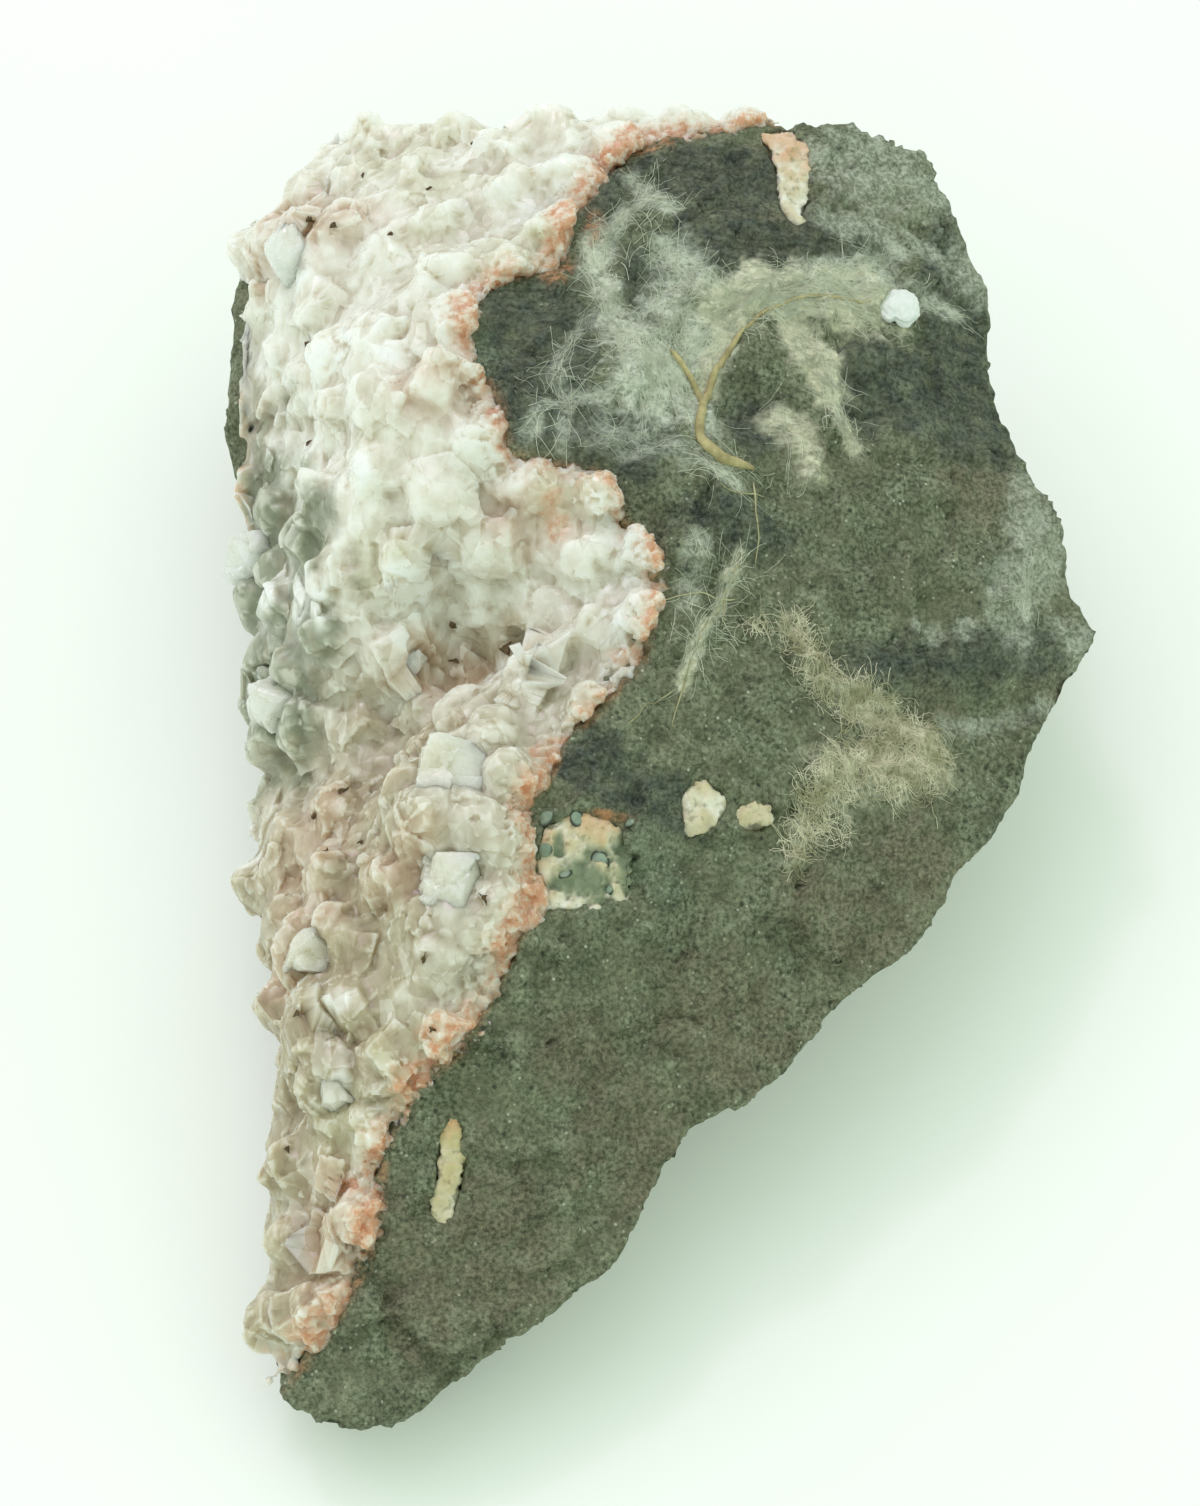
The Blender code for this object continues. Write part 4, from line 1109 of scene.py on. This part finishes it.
def crystal_crust(rock_tree, shapes):
    """The crust as the one body that its crystals grew into."""
    bed = crystal_bed()
    soft = smoothed(bed, 12)
    rows = standing_crystals(soft, rock_tree, shapes)
    bm = bmesh.new()
    for part in (bed, grown(rows + rim_grains(rock_tree, shapes))):
        bm.from_mesh(part)
        bpy.data.meshes.remove(part)
    mesh = largest_part(voxel_mesh(bm, "crust", CRUST_VOXEL))
    # The tops broke nearly level: what stands over the soft bed comes down, most where it is highest.
    places = mesh_places(mesh)
    near = 1 - smooth_step(2, 5, line_distance(places, CONTACT)[0])
    bed_tree = tree_of(soft)
    nearest = [bed_tree.find_nearest(place) for place in places]
    level = np.array([found[0] for found in nearest])
    height = np.sum((places - level) * np.array([found[1] for found in nearest]), axis=1)
    smooth = patches(places, GREY_CRYSTAL, 0)
    share = RELIEF + (1 - RELIEF) * near - 0.16 * smooth
    highest = HIGHEST + 0.9 * near - 0.5 * smooth
    lowered = highest * np.tanh(share * height / highest) / np.maximum(height, 0.01)
    places = level + (places - level) * np.where(height > 0.01, lowered, 0.9)[:, None]
    places[:, 0] = np.maximum(places[:, 0], np.interp(places[:, 1], *BARE_EDGE))
    move_points(mesh, places)
    flakes = facets(places, (5.2, 0.1, 0.02), (2.1, 0.17, 0.03)) * (1 - 0.45 * smooth)
    flakes += facets(places, (1.5, 0.6, 0.12)) * np.clip(1.3 * near - 0.15, 0, 1)
    push_out(mesh, places, flakes)
    ratio = CRUST_TRIANGLES / (2 * len(mesh.polygons))
    mesh = with_modifiers(mesh, ("DECIMATE", {"ratio": min(1.0, ratio)}))
    colour_crust(mesh, rows)
    return mesh


def colour_crust(mesh, rows):
    """Paints the crust: whiter where it stands proud and darker, as painted shade, in its hollows; a
    painted highlight on its edges and painted shade in its creases; the colours of its parts, and a
    tone for each of the crystals in these rows."""
    places = mesh_places(mesh)
    wobble = wobble_of(places, 5.0, 3.0)
    proud, sharp = proud_of(mesh, TIP_REACH), proud_of(mesh, CREASE_REACH)
    # Whiter where the crust stands out of its smoothed self, darker in its hollows: partly the crystals'
    # milky tips, partly painted shade.
    paint(mesh, "tip", smooth_step(-0.5, 0.5, proud))
    # Painted highlight: the sharp edges where the crust stands out.
    paint(mesh, "edge", smooth_step(0.02, 0.1, sharp))
    # Painted shade: the creases where the crust folds in.
    paint(mesh, "crease", smooth_step(-0.02, -0.12, sharp))
    for name, values in crystal_patches(places, wobble).items():
        paint(mesh, name, values)
    # Darker in the gaps between the crystals: partly soil, partly painted shade of the deep gaps.
    paint(mesh, "dirt", 0.5 * patches(places, CREVICE_SOIL_AND_SHADE, wobble, 0.25))
    # Painted highlight: white on the flat faces that throw the light back, where they stand out.
    paint(mesh, "bright", patches(places, BRIGHT_FACES, wobble, 0.3) * smooth_step(-0.3, 0.3, proud))
    tops = KDTree(len(rows))
    for number, (_, matrix) in enumerate(rows):
        tops.insert(matrix @ Vector((0, 0, 0.85)), number)
    tops.balance()
    rng = random.Random(8)
    tones = [rng.random() for _ in rows]
    found = [tops.find(place) for place in places]
    paint(mesh, "tone", [tones[number] if gap < TONE_REACH else 0.5 for _, number, gap in found])


def gap_soil_and_shade(crust_tree):
    """Three-cornered dark crumbs, pressed into the gaps between the crystals: partly soil, partly a
    dark stand-in for the shade in the deep gaps.
    """
    rng = random.Random(23)
    bm = bmesh.new()
    for x, y, half_x, half_y, way in CREVICE_SOIL_AND_SHADE:
        made = bmesh.ops.create_cone(
            bm, cap_ends=True, cap_tris=False, segments=3, radius1=1.0, radius2=0.85, depth=1.0
        )["verts"]
        edges = list({edge for vert in made for edge in vert.link_edges})
        bmesh.ops.subdivide_edges(bm, edges=edges, cuts=3, use_grid_fill=True)
        made = [vert for vert in bm.verts if not vert.tag]
        size = Matrix.Diagonal((half_x, half_y, rng.uniform(0.3, 0.5), 1))
        matrix = lying_on(surface_at(crust_tree, x, y), math.radians(way)) @ size
        bmesh.ops.transform(bm, matrix=matrix, verts=made)
        for vert in made:
            shifts = (Vector((7 * axis, 0, 0)) for axis in range(3))
            vert.co += Vector([CRUMBLE * noise.noise(vert.co * 1.7 + shift) for shift in shifts])
            vert.tag = True
    bmesh.ops.scale(bm, vec=(MM, MM, MM), verts=bm.verts)
    return finished_mesh(bm, "gap_soil_and_shade")


def chipped(bm, seed):
    """A clear crystal with corners broken away along flat cleavage faces, and worn faces."""
    rng = random.Random(seed)
    corners = [vert.co.copy() for vert in bm.verts]
    cut_corners(bm, rng, rng.sample(corners, min(MOST_CHIPS, len(corners))), 0.7, 0.9)
    mesh = voxel_mesh(bm, "chipped", CHIPPED_VOXEL)
    places = mesh_places(mesh)
    push_out(mesh, places, facets(places, (5.5, 0.26, 0.06), (2.2, 0.14, 0.03)) - 0.2)
    return with_modifiers(mesh, ("DECIMATE", {"ratio": CHIPPED_SHARE}))


# ---------------------------------------------------------------- fillings in the basalt

FILLING_VOXEL = 0.34
# Each filling: its CAD node, its seed, how far it spreads past the CAD outline, how cream it is,
# how rusty, and at what share of its length the rust starts.
FILLINGS = [
    ("top_vein", 1.0, 0.4, 0.0, 0.5, 0.55), ("lower_vein", 2.0, 0.45, 0.9, 0.8, 0.85),
    ("zeolite_patch", 3.0, 0.8, 0.45, 0.5, 0.75), ("zeolite_fleck_large", 4.0, 0.2, 0.3, 0.0, 1.0),
    ("zeolite_fleck_small", 5.0, 0.2, 0.4, 0.0, 1.0),
]
# Gas bubbles: x, y and radius.
BUBBLES = [
    (-13.9, -25.9, 1.5), (-13.9, -29.9, 1.3), (-9.9, -26.1, 1.2), (-7.0, -30.4, 1.5),
    (-3.2, -25.7, 1.0), (-11.5, -32.3, 1.1), (-5.8, -33.2, 0.8),
]
# Green clay inside the filled cavity: x, y and the half widths.
PATCH_GREEN = [
    (-9.2, -32.6, 3.6, 2.2), (-7.4, -30, 2.2, 1.2), (-12.2, -29.3, 0.9, 1.5), (-2.8, -29.5, 2.4, 4.6),
    (-12.4, -33.4, 1.2, 1.2), (-6.4, -34.8, 2, 0.8),
]
# The chalk-white rim along the near side of that cavity: x, y and how thick it is.
WHITE_CRESCENT = [
    (-14.5, -36.6, 0.35), (-13.2, -35.9, 0.75), (-11.7, -35.2, 0.6), (-10, -35.1, 0.8),
    (-8.2, -35.3, 0.6), (-6.6, -34.6, 0.25),
]


def filling(name, seed, spread, cream, rust, rust_from):
    """A zeolite filling that broke level with the rock, ragged at its rim and pitted."""
    mesh = voxel_mesh(node_shape(name), name, FILLING_VOXEL, 4)
    places, facings = mesh_places(mesh), mesh_facings(mesh)
    coarse, fine = wobble_of(places, 2.6, seed), wobble_of(places, 0.9, seed + 3)
    cells = facets(places, (1.7, 0.35, 0.1))
    flat = np.abs(facings[:, 2])
    out = facings.copy()
    out[:, 2] *= 0.2
    places = places + out * (spread + 1.0 * coarse + 0.4 * fine)[:, None] * (1 - flat)[:, None]
    places[:, 2] += (facings[:, 2] > 0.2) * (cells + 0.55 * coarse + 0.25 * fine - 0.15)
    green = patches(places, PATCH_GREEN, 0.5 * coarse + 0.5 * fine, 0.6)
    places[:, 2] -= (facings[:, 2] > 0.2) * green * 0.7
    move_points(mesh, places)
    low, high = places.min(axis=0), places.max(axis=0)
    along = (places[:, 1] - low[1]) / (high[1] - low[1])
    paint(mesh, "cream", np.clip(cream * (0.4 + along) + 0.6 * coarse, 0, 1))
    paint(mesh, "rust", rust * smooth_step(rust_from - 0.15, rust_from + 0.3, along + 0.35 * coarse))
    paint(mesh, "green", green)
    return mesh


def bubble_fillings(trees):
    """Round fillings of gas bubbles, each a low dome with a dark rim."""
    rng = random.Random(12)
    bm = bmesh.new()
    for x, y, radius in BUBBLES:
        spots = [spot for spot in (surface_at(tree, x, y) for tree in trees) if spot]
        found = max(spots, key=lambda spot: spot[0].z)
        made = bmesh.ops.create_icosphere(bm, subdivisions=3, radius=1.0)["verts"]
        size = Matrix.Diagonal((radius * rng.uniform(0.8, 1), radius * rng.uniform(0.7, 0.9), 0.3, 1))
        matrix = Matrix.Diagonal((MM, MM, MM, 1)) @ lying_on(found, rng.random() * 3) @ size
        bmesh.ops.transform(bm, matrix=matrix, verts=made)
    mesh = finished_mesh(bm, "bubbles")
    places = mesh_places(mesh)
    outward = [
        min(math.hypot(x - place[0], y - place[1]) / radius for x, y, radius in BUBBLES) for place in places
    ]
    places[:, 2] += 0.12 * wobble_of(places, 0.8, 2.0)
    move_points(mesh, places)
    paint(mesh, "rim", smooth_step(0.5, 0.72, np.array(outward)))
    return mesh


def white_crescent(rock_tree):
    """A thin rim of chalk-white zeolite along the near side of the filled cavity."""
    path = [surface_at(rock_tree, x, y)[0] for x, y, _ in WHITE_CRESCENT]
    mesh = tube([(path, [thick for _, _, thick in WHITE_CRESCENT])], 3)
    places = mesh_places(mesh)
    push_out(mesh, places, 0.35 * wobble_of(places, 0.9))
    for name in ("cream", "rust", "green"):
        paint(mesh, name, np.zeros(len(places)))
    return mesh


# ---------------------------------------------------------------- roots, cobweb and cocoon

THREAD_STEP = 0.7
THINNEST, WEB_THICKEST, MOSS_THICKEST = 0.02, 0.042, 0.05  # half thickness of the threads
# Dried roots: points in plan, thickness at each end and height of the strand over the stone.
ROOTS = [
    ([(12.4, 45.2), (9.3, 39.7), (6.9, 33.8), (6.2, 27.3), (8.8, 24.5), (13.1, 24.4)], 0.34, 0.8, 0.3),
    ([(2.3, 39.9), (5.0, 36.9), (6.7, 33.3)], 0.4, 0.42, 0.25),
    ([(12.4, 45.2), (16.5, 49), (22.7, 51.5), (29.7, 53.6)], 0.3, 0.14, 0.1),
]
HAIRS = [
    ([(13, 22.6), (13.7, 17.2), (13.5, 11.5)], 0.14, 0.09, 0.1),
    ([(11.3, 10.6), (8.6, 4.7), (5.9, -0.9), (4.0, -6.3), (2.2, -12.8)], 0.17, 0.09, 0.1),
    ([(10.6, 5.3), (6.0, 5.6), (0.8, 3.8)], 0.12, 0.08, 0.1),
    ([(11.8, 12.5), (9.6, 6.5), (8.8, 1.5)], 0.11, 0.07, 0.1),
    ([(8.8, 20.5), (11.5, 19.9), (14.6, 21.4)], 0.12, 0.08, 0.1),
    ([(-3.5, -14), (-0.5, -10.5), (2.5, -8)], 0.11, 0.07, 0.1),
]
# Loose cobweb: middle, half widths, how many threads, their length, how they run and how far that
# spreads, in degrees.
WEBS = [
    ((0, 37), (4, 8), 60, 6, 80, 30), ((5, 47), (6, 6), 60, 7, 40, 30), ((14, 49), (6, 3), 50, 7, 15, 25),
    ((25, 52), (7, 3), 60, 7, 20, 25), ((-2, 59), (3, 7), 25, 7, 75, 25),
    ((-12, 34), (5, 5), 16, 6, 80, 50), ((10, 23), (4, 2), 20, 5, 20, 30), ((5, 3), (3, 7), 12, 6, 65, 25),
    ((9, 10), (4, 4), 12, 5, 60, 30), ((51, 18), (2, 5), 12, 5, 90, 30), ((1, 62), (6, 7), 8, 6, 60, 30),
]
# Clumps of moss threads: middle, radius, how many threads.
CLUMPS = [
    (18.6, 3.6, 1.1, 55), (20.2, 0.6, 1.3, 90), (22.2, -1.8, 1.2, 70), (25.5, -3.2, 1.4, 80),
    (28.6, -3.4, 1.3, 90), (31.8, -4.8, 1.8, 120), (35, -5.4, 1.5, 110), (37, -7.6, 1.2, 70),
    (35.4, -10, 1.9, 130), (31.8, -11.8, 2.0, 120), (28.4, -10.4, 1.8, 90), (25.4, -12.2, 1.7, 110),
    (22.6, -14.8, 1.5, 90), (20.6, -17.2, 1.1, 60), (19.4, -20.4, 0.9, 50), (18.2, -24.2, 0.8, 45),
    (30, -8, 1.5, 50), (13.5, 3, 1.2, 20), (21.4, -19.8, 1.0, 24), (24.6, -20, 1.2, 18),
]


def tube(strands, ring):
    """A mesh of round tubes, each along a path of points with a radius at each point."""
    curve = bpy.data.curves.new("tube", "CURVE")
    curve.dimensions = "3D"
    curve.bevel_depth = 1.0
    curve.bevel_resolution = ring
    curve.use_fill_caps = True
    for path, sizes in strands:
        spline = curve.splines.new("POLY")
        spline.points.add(len(path) - 1)
        spline.points.foreach_set("co", [c for place in path for c in (*(Vector(place) * MM), 1)])
        spline.points.foreach_set("radius", [size * MM for size in sizes])
    mesh = shown_mesh(in_scene("tube", curve))
    bpy.data.curves.remove(curve)
    return mesh


def laid_path(rock_tree, points, spacing, height):
    """A smooth path through plan points, laid on the rock at this height."""
    points = [Vector((x, y, 0)) for x, y in points]
    ends = [2 * points[0] - points[1]] + points + [2 * points[-1] - points[-2]]
    path = []
    for a, b, c, d in zip(ends, ends[1:], ends[2:], ends[3:]):
        steps = max(2, round((c - b).length / spacing))
        for t in (step / steps for step in range(steps)):
            place = 2 * b + (c - a) * t + (2 * a - 5 * b + 4 * c - d) * t**2
            path.append(0.5 * (place + (3 * b - a - 3 * c + d) * t**3))
    path.append(points[-1])
    laid = []
    for place in path:
        sway = [0.25 * noise.noise(place / 3 + shift) for shift in (Vector(), Vector((9, 0, 0)))]
        place = place + Vector((*sway, 0))
        found = surface_at(rock_tree, place.x, place.y)
        if found is not None:
            laid.append(found[0] + Vector((0, 0, height)))
    return laid


def strand_mesh(rock_tree, rows, ring):
    """Strands laid on the rock, knotty, and thin at their ends."""
    strands = []
    for points, thick, thin, height in rows:
        path = laid_path(rock_tree, points, THREAD_STEP, height)
        share = np.linspace(0, 1, len(path))
        knots = [1 + 0.16 * noise.noise(place / 1.3) for place in path]
        taper = np.minimum(1, np.minimum(share, 1 - share) * 9 + 0.35)
        strands.append((path, (thick + (thin - thick) * share) * knots * taper))
    return tube(strands, ring)


def wandering(rng, rock_tree, x, y, angle, length, curl, lift):
    """The path of one thread that wanders over the rock from a point."""
    steps = max(4, int(length / THREAD_STEP))
    height, path = lift * rng.random(), []
    turn = rng.gauss(0, curl)
    for _ in range(steps):
        found = surface_at(rock_tree, x, y)
        if found is None:
            break
        path.append(found[0] + Vector((0, 0, 0.05 + height)))
        turn = 0.75 * turn + rng.gauss(0, curl * 0.6)
        angle += turn
        height = min(max(height + rng.gauss(0, lift * 0.3), 0), lift * 1.6)
        x += THREAD_STEP * math.cos(angle)
        y += THREAD_STEP * math.sin(angle)
    return path


def spin(strands, rng, thickest, *thread):
    """Adds one wandering thread to the strands, where it found enough rock to lie on."""
    path = wandering(rng, *thread)
    if len(path) > 3:
        strands.append((path, [rng.uniform(THINNEST, thickest)] * len(path)))


def cobweb_mesh(rock_tree):
    """Threads along the bands of web and moss, and loose ones between them."""
    rng = random.Random(31)
    strands = []
    for half_width, _, per_length, line in WEB_BANDS + MOSS_BANDS:
        for (ax, ay), (bx, by) in zip(line, line[1:]):
            length = math.hypot(bx - ax, by - ay)
            run = math.atan2(by - ay, bx - ax)
            for _ in range(round(length * per_length)):
                share = rng.random()
                x = ax + (bx - ax) * share + half_width * rng.gauss(0, SPREAD)
                y = ay + (by - ay) * share + half_width * rng.gauss(0, SPREAD)
                angle = run + rng.choice((0, math.pi)) + rng.gauss(0, 0.35)
                span = rng.uniform(2.5, 7)
                spin(strands, rng, WEB_THICKEST, rock_tree, x, y, angle, span, 0.16, 0.3)
    for (x, y), (half_x, half_y), count, length, run, spread in WEBS:
        for _ in range(count):
            angle = math.radians(rng.gauss(run, spread))
            start = (x + half_x * rng.gauss(0, SPREAD), y + half_y * rng.gauss(0, SPREAD))
            span = length * rng.uniform(0.4, 1.2)
            spin(strands, rng, WEB_THICKEST, rock_tree, *start, angle, span, 0.13, 0.2)
    return tube(strands, 0)


def mat_mesh(rock_tree):
    """Clumps of short, curly moss threads."""
    rng = random.Random(47)
    strands = []
    for x, y, radius, count in CLUMPS:
        for _ in range(round(1.4 * count)):
            start = (x + rng.gauss(0, radius * 0.6), y + rng.gauss(0, radius * 0.6))
            angle, length = rng.uniform(0, math.tau), rng.uniform(2.5, 5.5)
            spin(strands, rng, MOSS_THICKEST, rock_tree, *start, angle, length, 0.6, 0.3)
    return tube(strands, 0)


def cocoon_mesh():
    """A felted disc, domed and lumpy, with a notch in its near edge."""
    low, high = (Vector(corner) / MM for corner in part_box("white_cocoon"))
    middle, half = (low + high) / 2, (high - low) / 2
    bm = bmesh.new()
    bmesh.ops.create_icosphere(bm, subdivisions=5, radius=1.0)
    mesh = finished_mesh(bm, "cocoon")
    unit = mesh_places(mesh) * MM
    angle = np.arctan2(unit[:, 1], unit[:, 0])
    notch = np.exp(-(((angle + 1.9) / 0.28) ** 2)) * 0.3 * np.hypot(unit[:, 0], unit[:, 1])
    lumps = wobble_of(unit, 0.55, 2.0) * 0.12 + wobble_of(unit, 0.2, 4.0) * 0.05
    unit = unit * (1 + lumps - notch)[:, None]
    move_points(mesh, unit * np.array(half) * np.array((1.2, 1.36, 0.9)) + np.array(middle))
    return mesh


# ---------------------------------------------------------------- light, floor and camera

EYE_TARGET = Vector((-6.98, -0.18, 25.0))
EYE_DISTANCE = 575.0
EYE_HEIGHT_ANGLE = math.radians(58)
FRAME_HEIGHT_MM = 203.31  # height of the view at the target
SENSOR_HEIGHT = 24.0

SURROUND_TINT = (0.84, 1.0, 0.84, 1.0)
SURROUND_POWER = 0.92
PAPER_GLOW = 0.11  # thin paper, lit from below as well
SUNS = [  # name, way the light falls, softness in degrees and power; from the upper left, behind
    ("overcast window", (0.45, -0.5, -1.0), 60.0, 0.55),
    ("bright strip of the window", (0.35, -0.65, -1.0), 9.0, 0.28),
]
SUN_TINT = (0.97, 0.68, 1.0)


def floor_paper():
    """Thin white backdrop paper, matt, with light coming up through it."""
    material, tree, shader, at = new_material("thin white paper, matt")
    tooth = blotches(tree, at, 60, 2, rough=0.5)
    feed(tree, shader, {
        "Base Color": layered(tree, "f1f3f1", (tooth, "f6f7f6")), "Roughness": 0.9,
        "Emission Color": SURROUND_TINT, "Emission Strength": PAPER_GLOW,
    })
    return material


def build_stage():
    """The floor, the soft light from all round and the window."""
    bm = bmesh.new()
    bmesh.ops.create_grid(bm, x_segments=8, y_segments=8, size=3.0)
    bmesh.ops.translate(bm, vec=(0, 0, -0.05 * MM), verts=bm.verts)
    mesh = finished_mesh(bm, "floor")
    mesh.materials.append(floor_paper())
    floor = in_scene("floor", mesh)

    world = bpy.data.worlds.new("soft surround")
    bpy.context.scene.world = world
    world.use_nodes = True
    surround = {"Color": SURROUND_TINT, "Strength": SURROUND_POWER}
    feed(world.node_tree, world.node_tree.nodes["Background"], surround)

    for name, way, softness, power in SUNS:
        light = bpy.data.lights.new(name, "SUN")
        light.angle = math.radians(softness)
        light.energy = power
        light.color = SUN_TINT
        in_scene(name, light).rotation_euler = Vector(way).to_track_quat("-Z", "Y").to_euler()


def build_camera():
    """The eye above the near side, and colours as they are."""
    data = bpy.data.cameras.new("eye")
    data.sensor_fit = "VERTICAL"
    data.sensor_height = SENSOR_HEIGHT
    data.lens = SENSOR_HEIGHT * EYE_DISTANCE / FRAME_HEIGHT_MM
    data.clip_start = 0.01
    eye = in_scene("eye", data)
    back = Vector((0, -math.cos(EYE_HEIGHT_ANGLE), math.sin(EYE_HEIGHT_ANGLE)))
    eye.location = (EYE_TARGET + back * EYE_DISTANCE) * MM
    eye.rotation_euler = (-back).to_track_quat("-Z", "Y").to_euler()
    bpy.context.scene.camera = eye
    bpy.context.scene.view_settings.view_transform = "Standard"


# ---------------------------------------------------------------- putting it together


def main():
    """Builds the specimen piece by piece, from the rock up to what lies on it."""
    build_camera()
    build_stage()
    rock_mesh = basalt_rock()
    rock_tree = tree_of(rock_mesh)
    piece(rock_mesh, "basalt", fresh_basalt(), "basalt", "basalt_matrix", finish="round")

    crust = crystal_crust(rock_tree, crystal_shapes())
    piece(crust, "stilbite_crust", milky_stilbite(), "stilbite", "stilbite_druse", finish="crisp")
    piece(gap_soil_and_shade(tree_of(crust)), "gap_soil_and_shade", dry_soil_and_shade(), "stilbite")

    clear = clear_apophyllite()
    for number in range(1, len(SWELLS) + 1):
        node = f"apophyllite_crystal_{number}"
        mesh = chipped(node_shape(node), number)
        places = mesh_places(mesh)
        paint(mesh, "low", crystal_patches(places, wobble_of(places, 5.0, 3.0))["low"])
        piece(mesh, f"apophyllite_{number}", clear, "apophyllite", node, finish="crisp")

    zeolite = cream_zeolite()
    for name, *look in FILLINGS:
        piece(filling(name, *look), f"filled_{name}", zeolite, "zeolite", name, finish="round")
    patch_tree = tree_of(bpy.data.objects["filled_zeolite_patch"].data)
    piece(white_crescent(rock_tree), "white_crescent", zeolite, "zeolite", finish="round")
    bubbles = bubble_fillings((rock_tree, patch_tree))
    piece(bubbles, "bubble_fillings", green_amygdule(), "zeolite", finish="round")

    root = dry_fibre("dried root, peeled", "948860", "c4b888", 3.0)
    hair = dry_fibre("root hairs, dry", "8f8c68", "c2bf99", 4.0)
    web = dry_fibre("old cobweb, dusty", "b4b9a4", "e4e7d6", 5.0)
    moss = dry_fibre("dry moss threads", "b1ad8a", "efead3", 3.0)
    roots = strand_mesh(rock_tree, ROOTS, 4)
    piece(roots, "dried_root_strands", root, "root", "dried_root", finish="round")
    piece(strand_mesh(rock_tree, HAIRS, 1), "root_hairs", hair, "root")
    piece(cobweb_mesh(rock_tree), "cobweb", web, "root")
    piece(mat_mesh(rock_tree), "moss_mat", moss, "root")
    piece(cocoon_mesh(), "cocoon", papery_cocoon(), "cocoon", "white_cocoon", finish="round")


main()
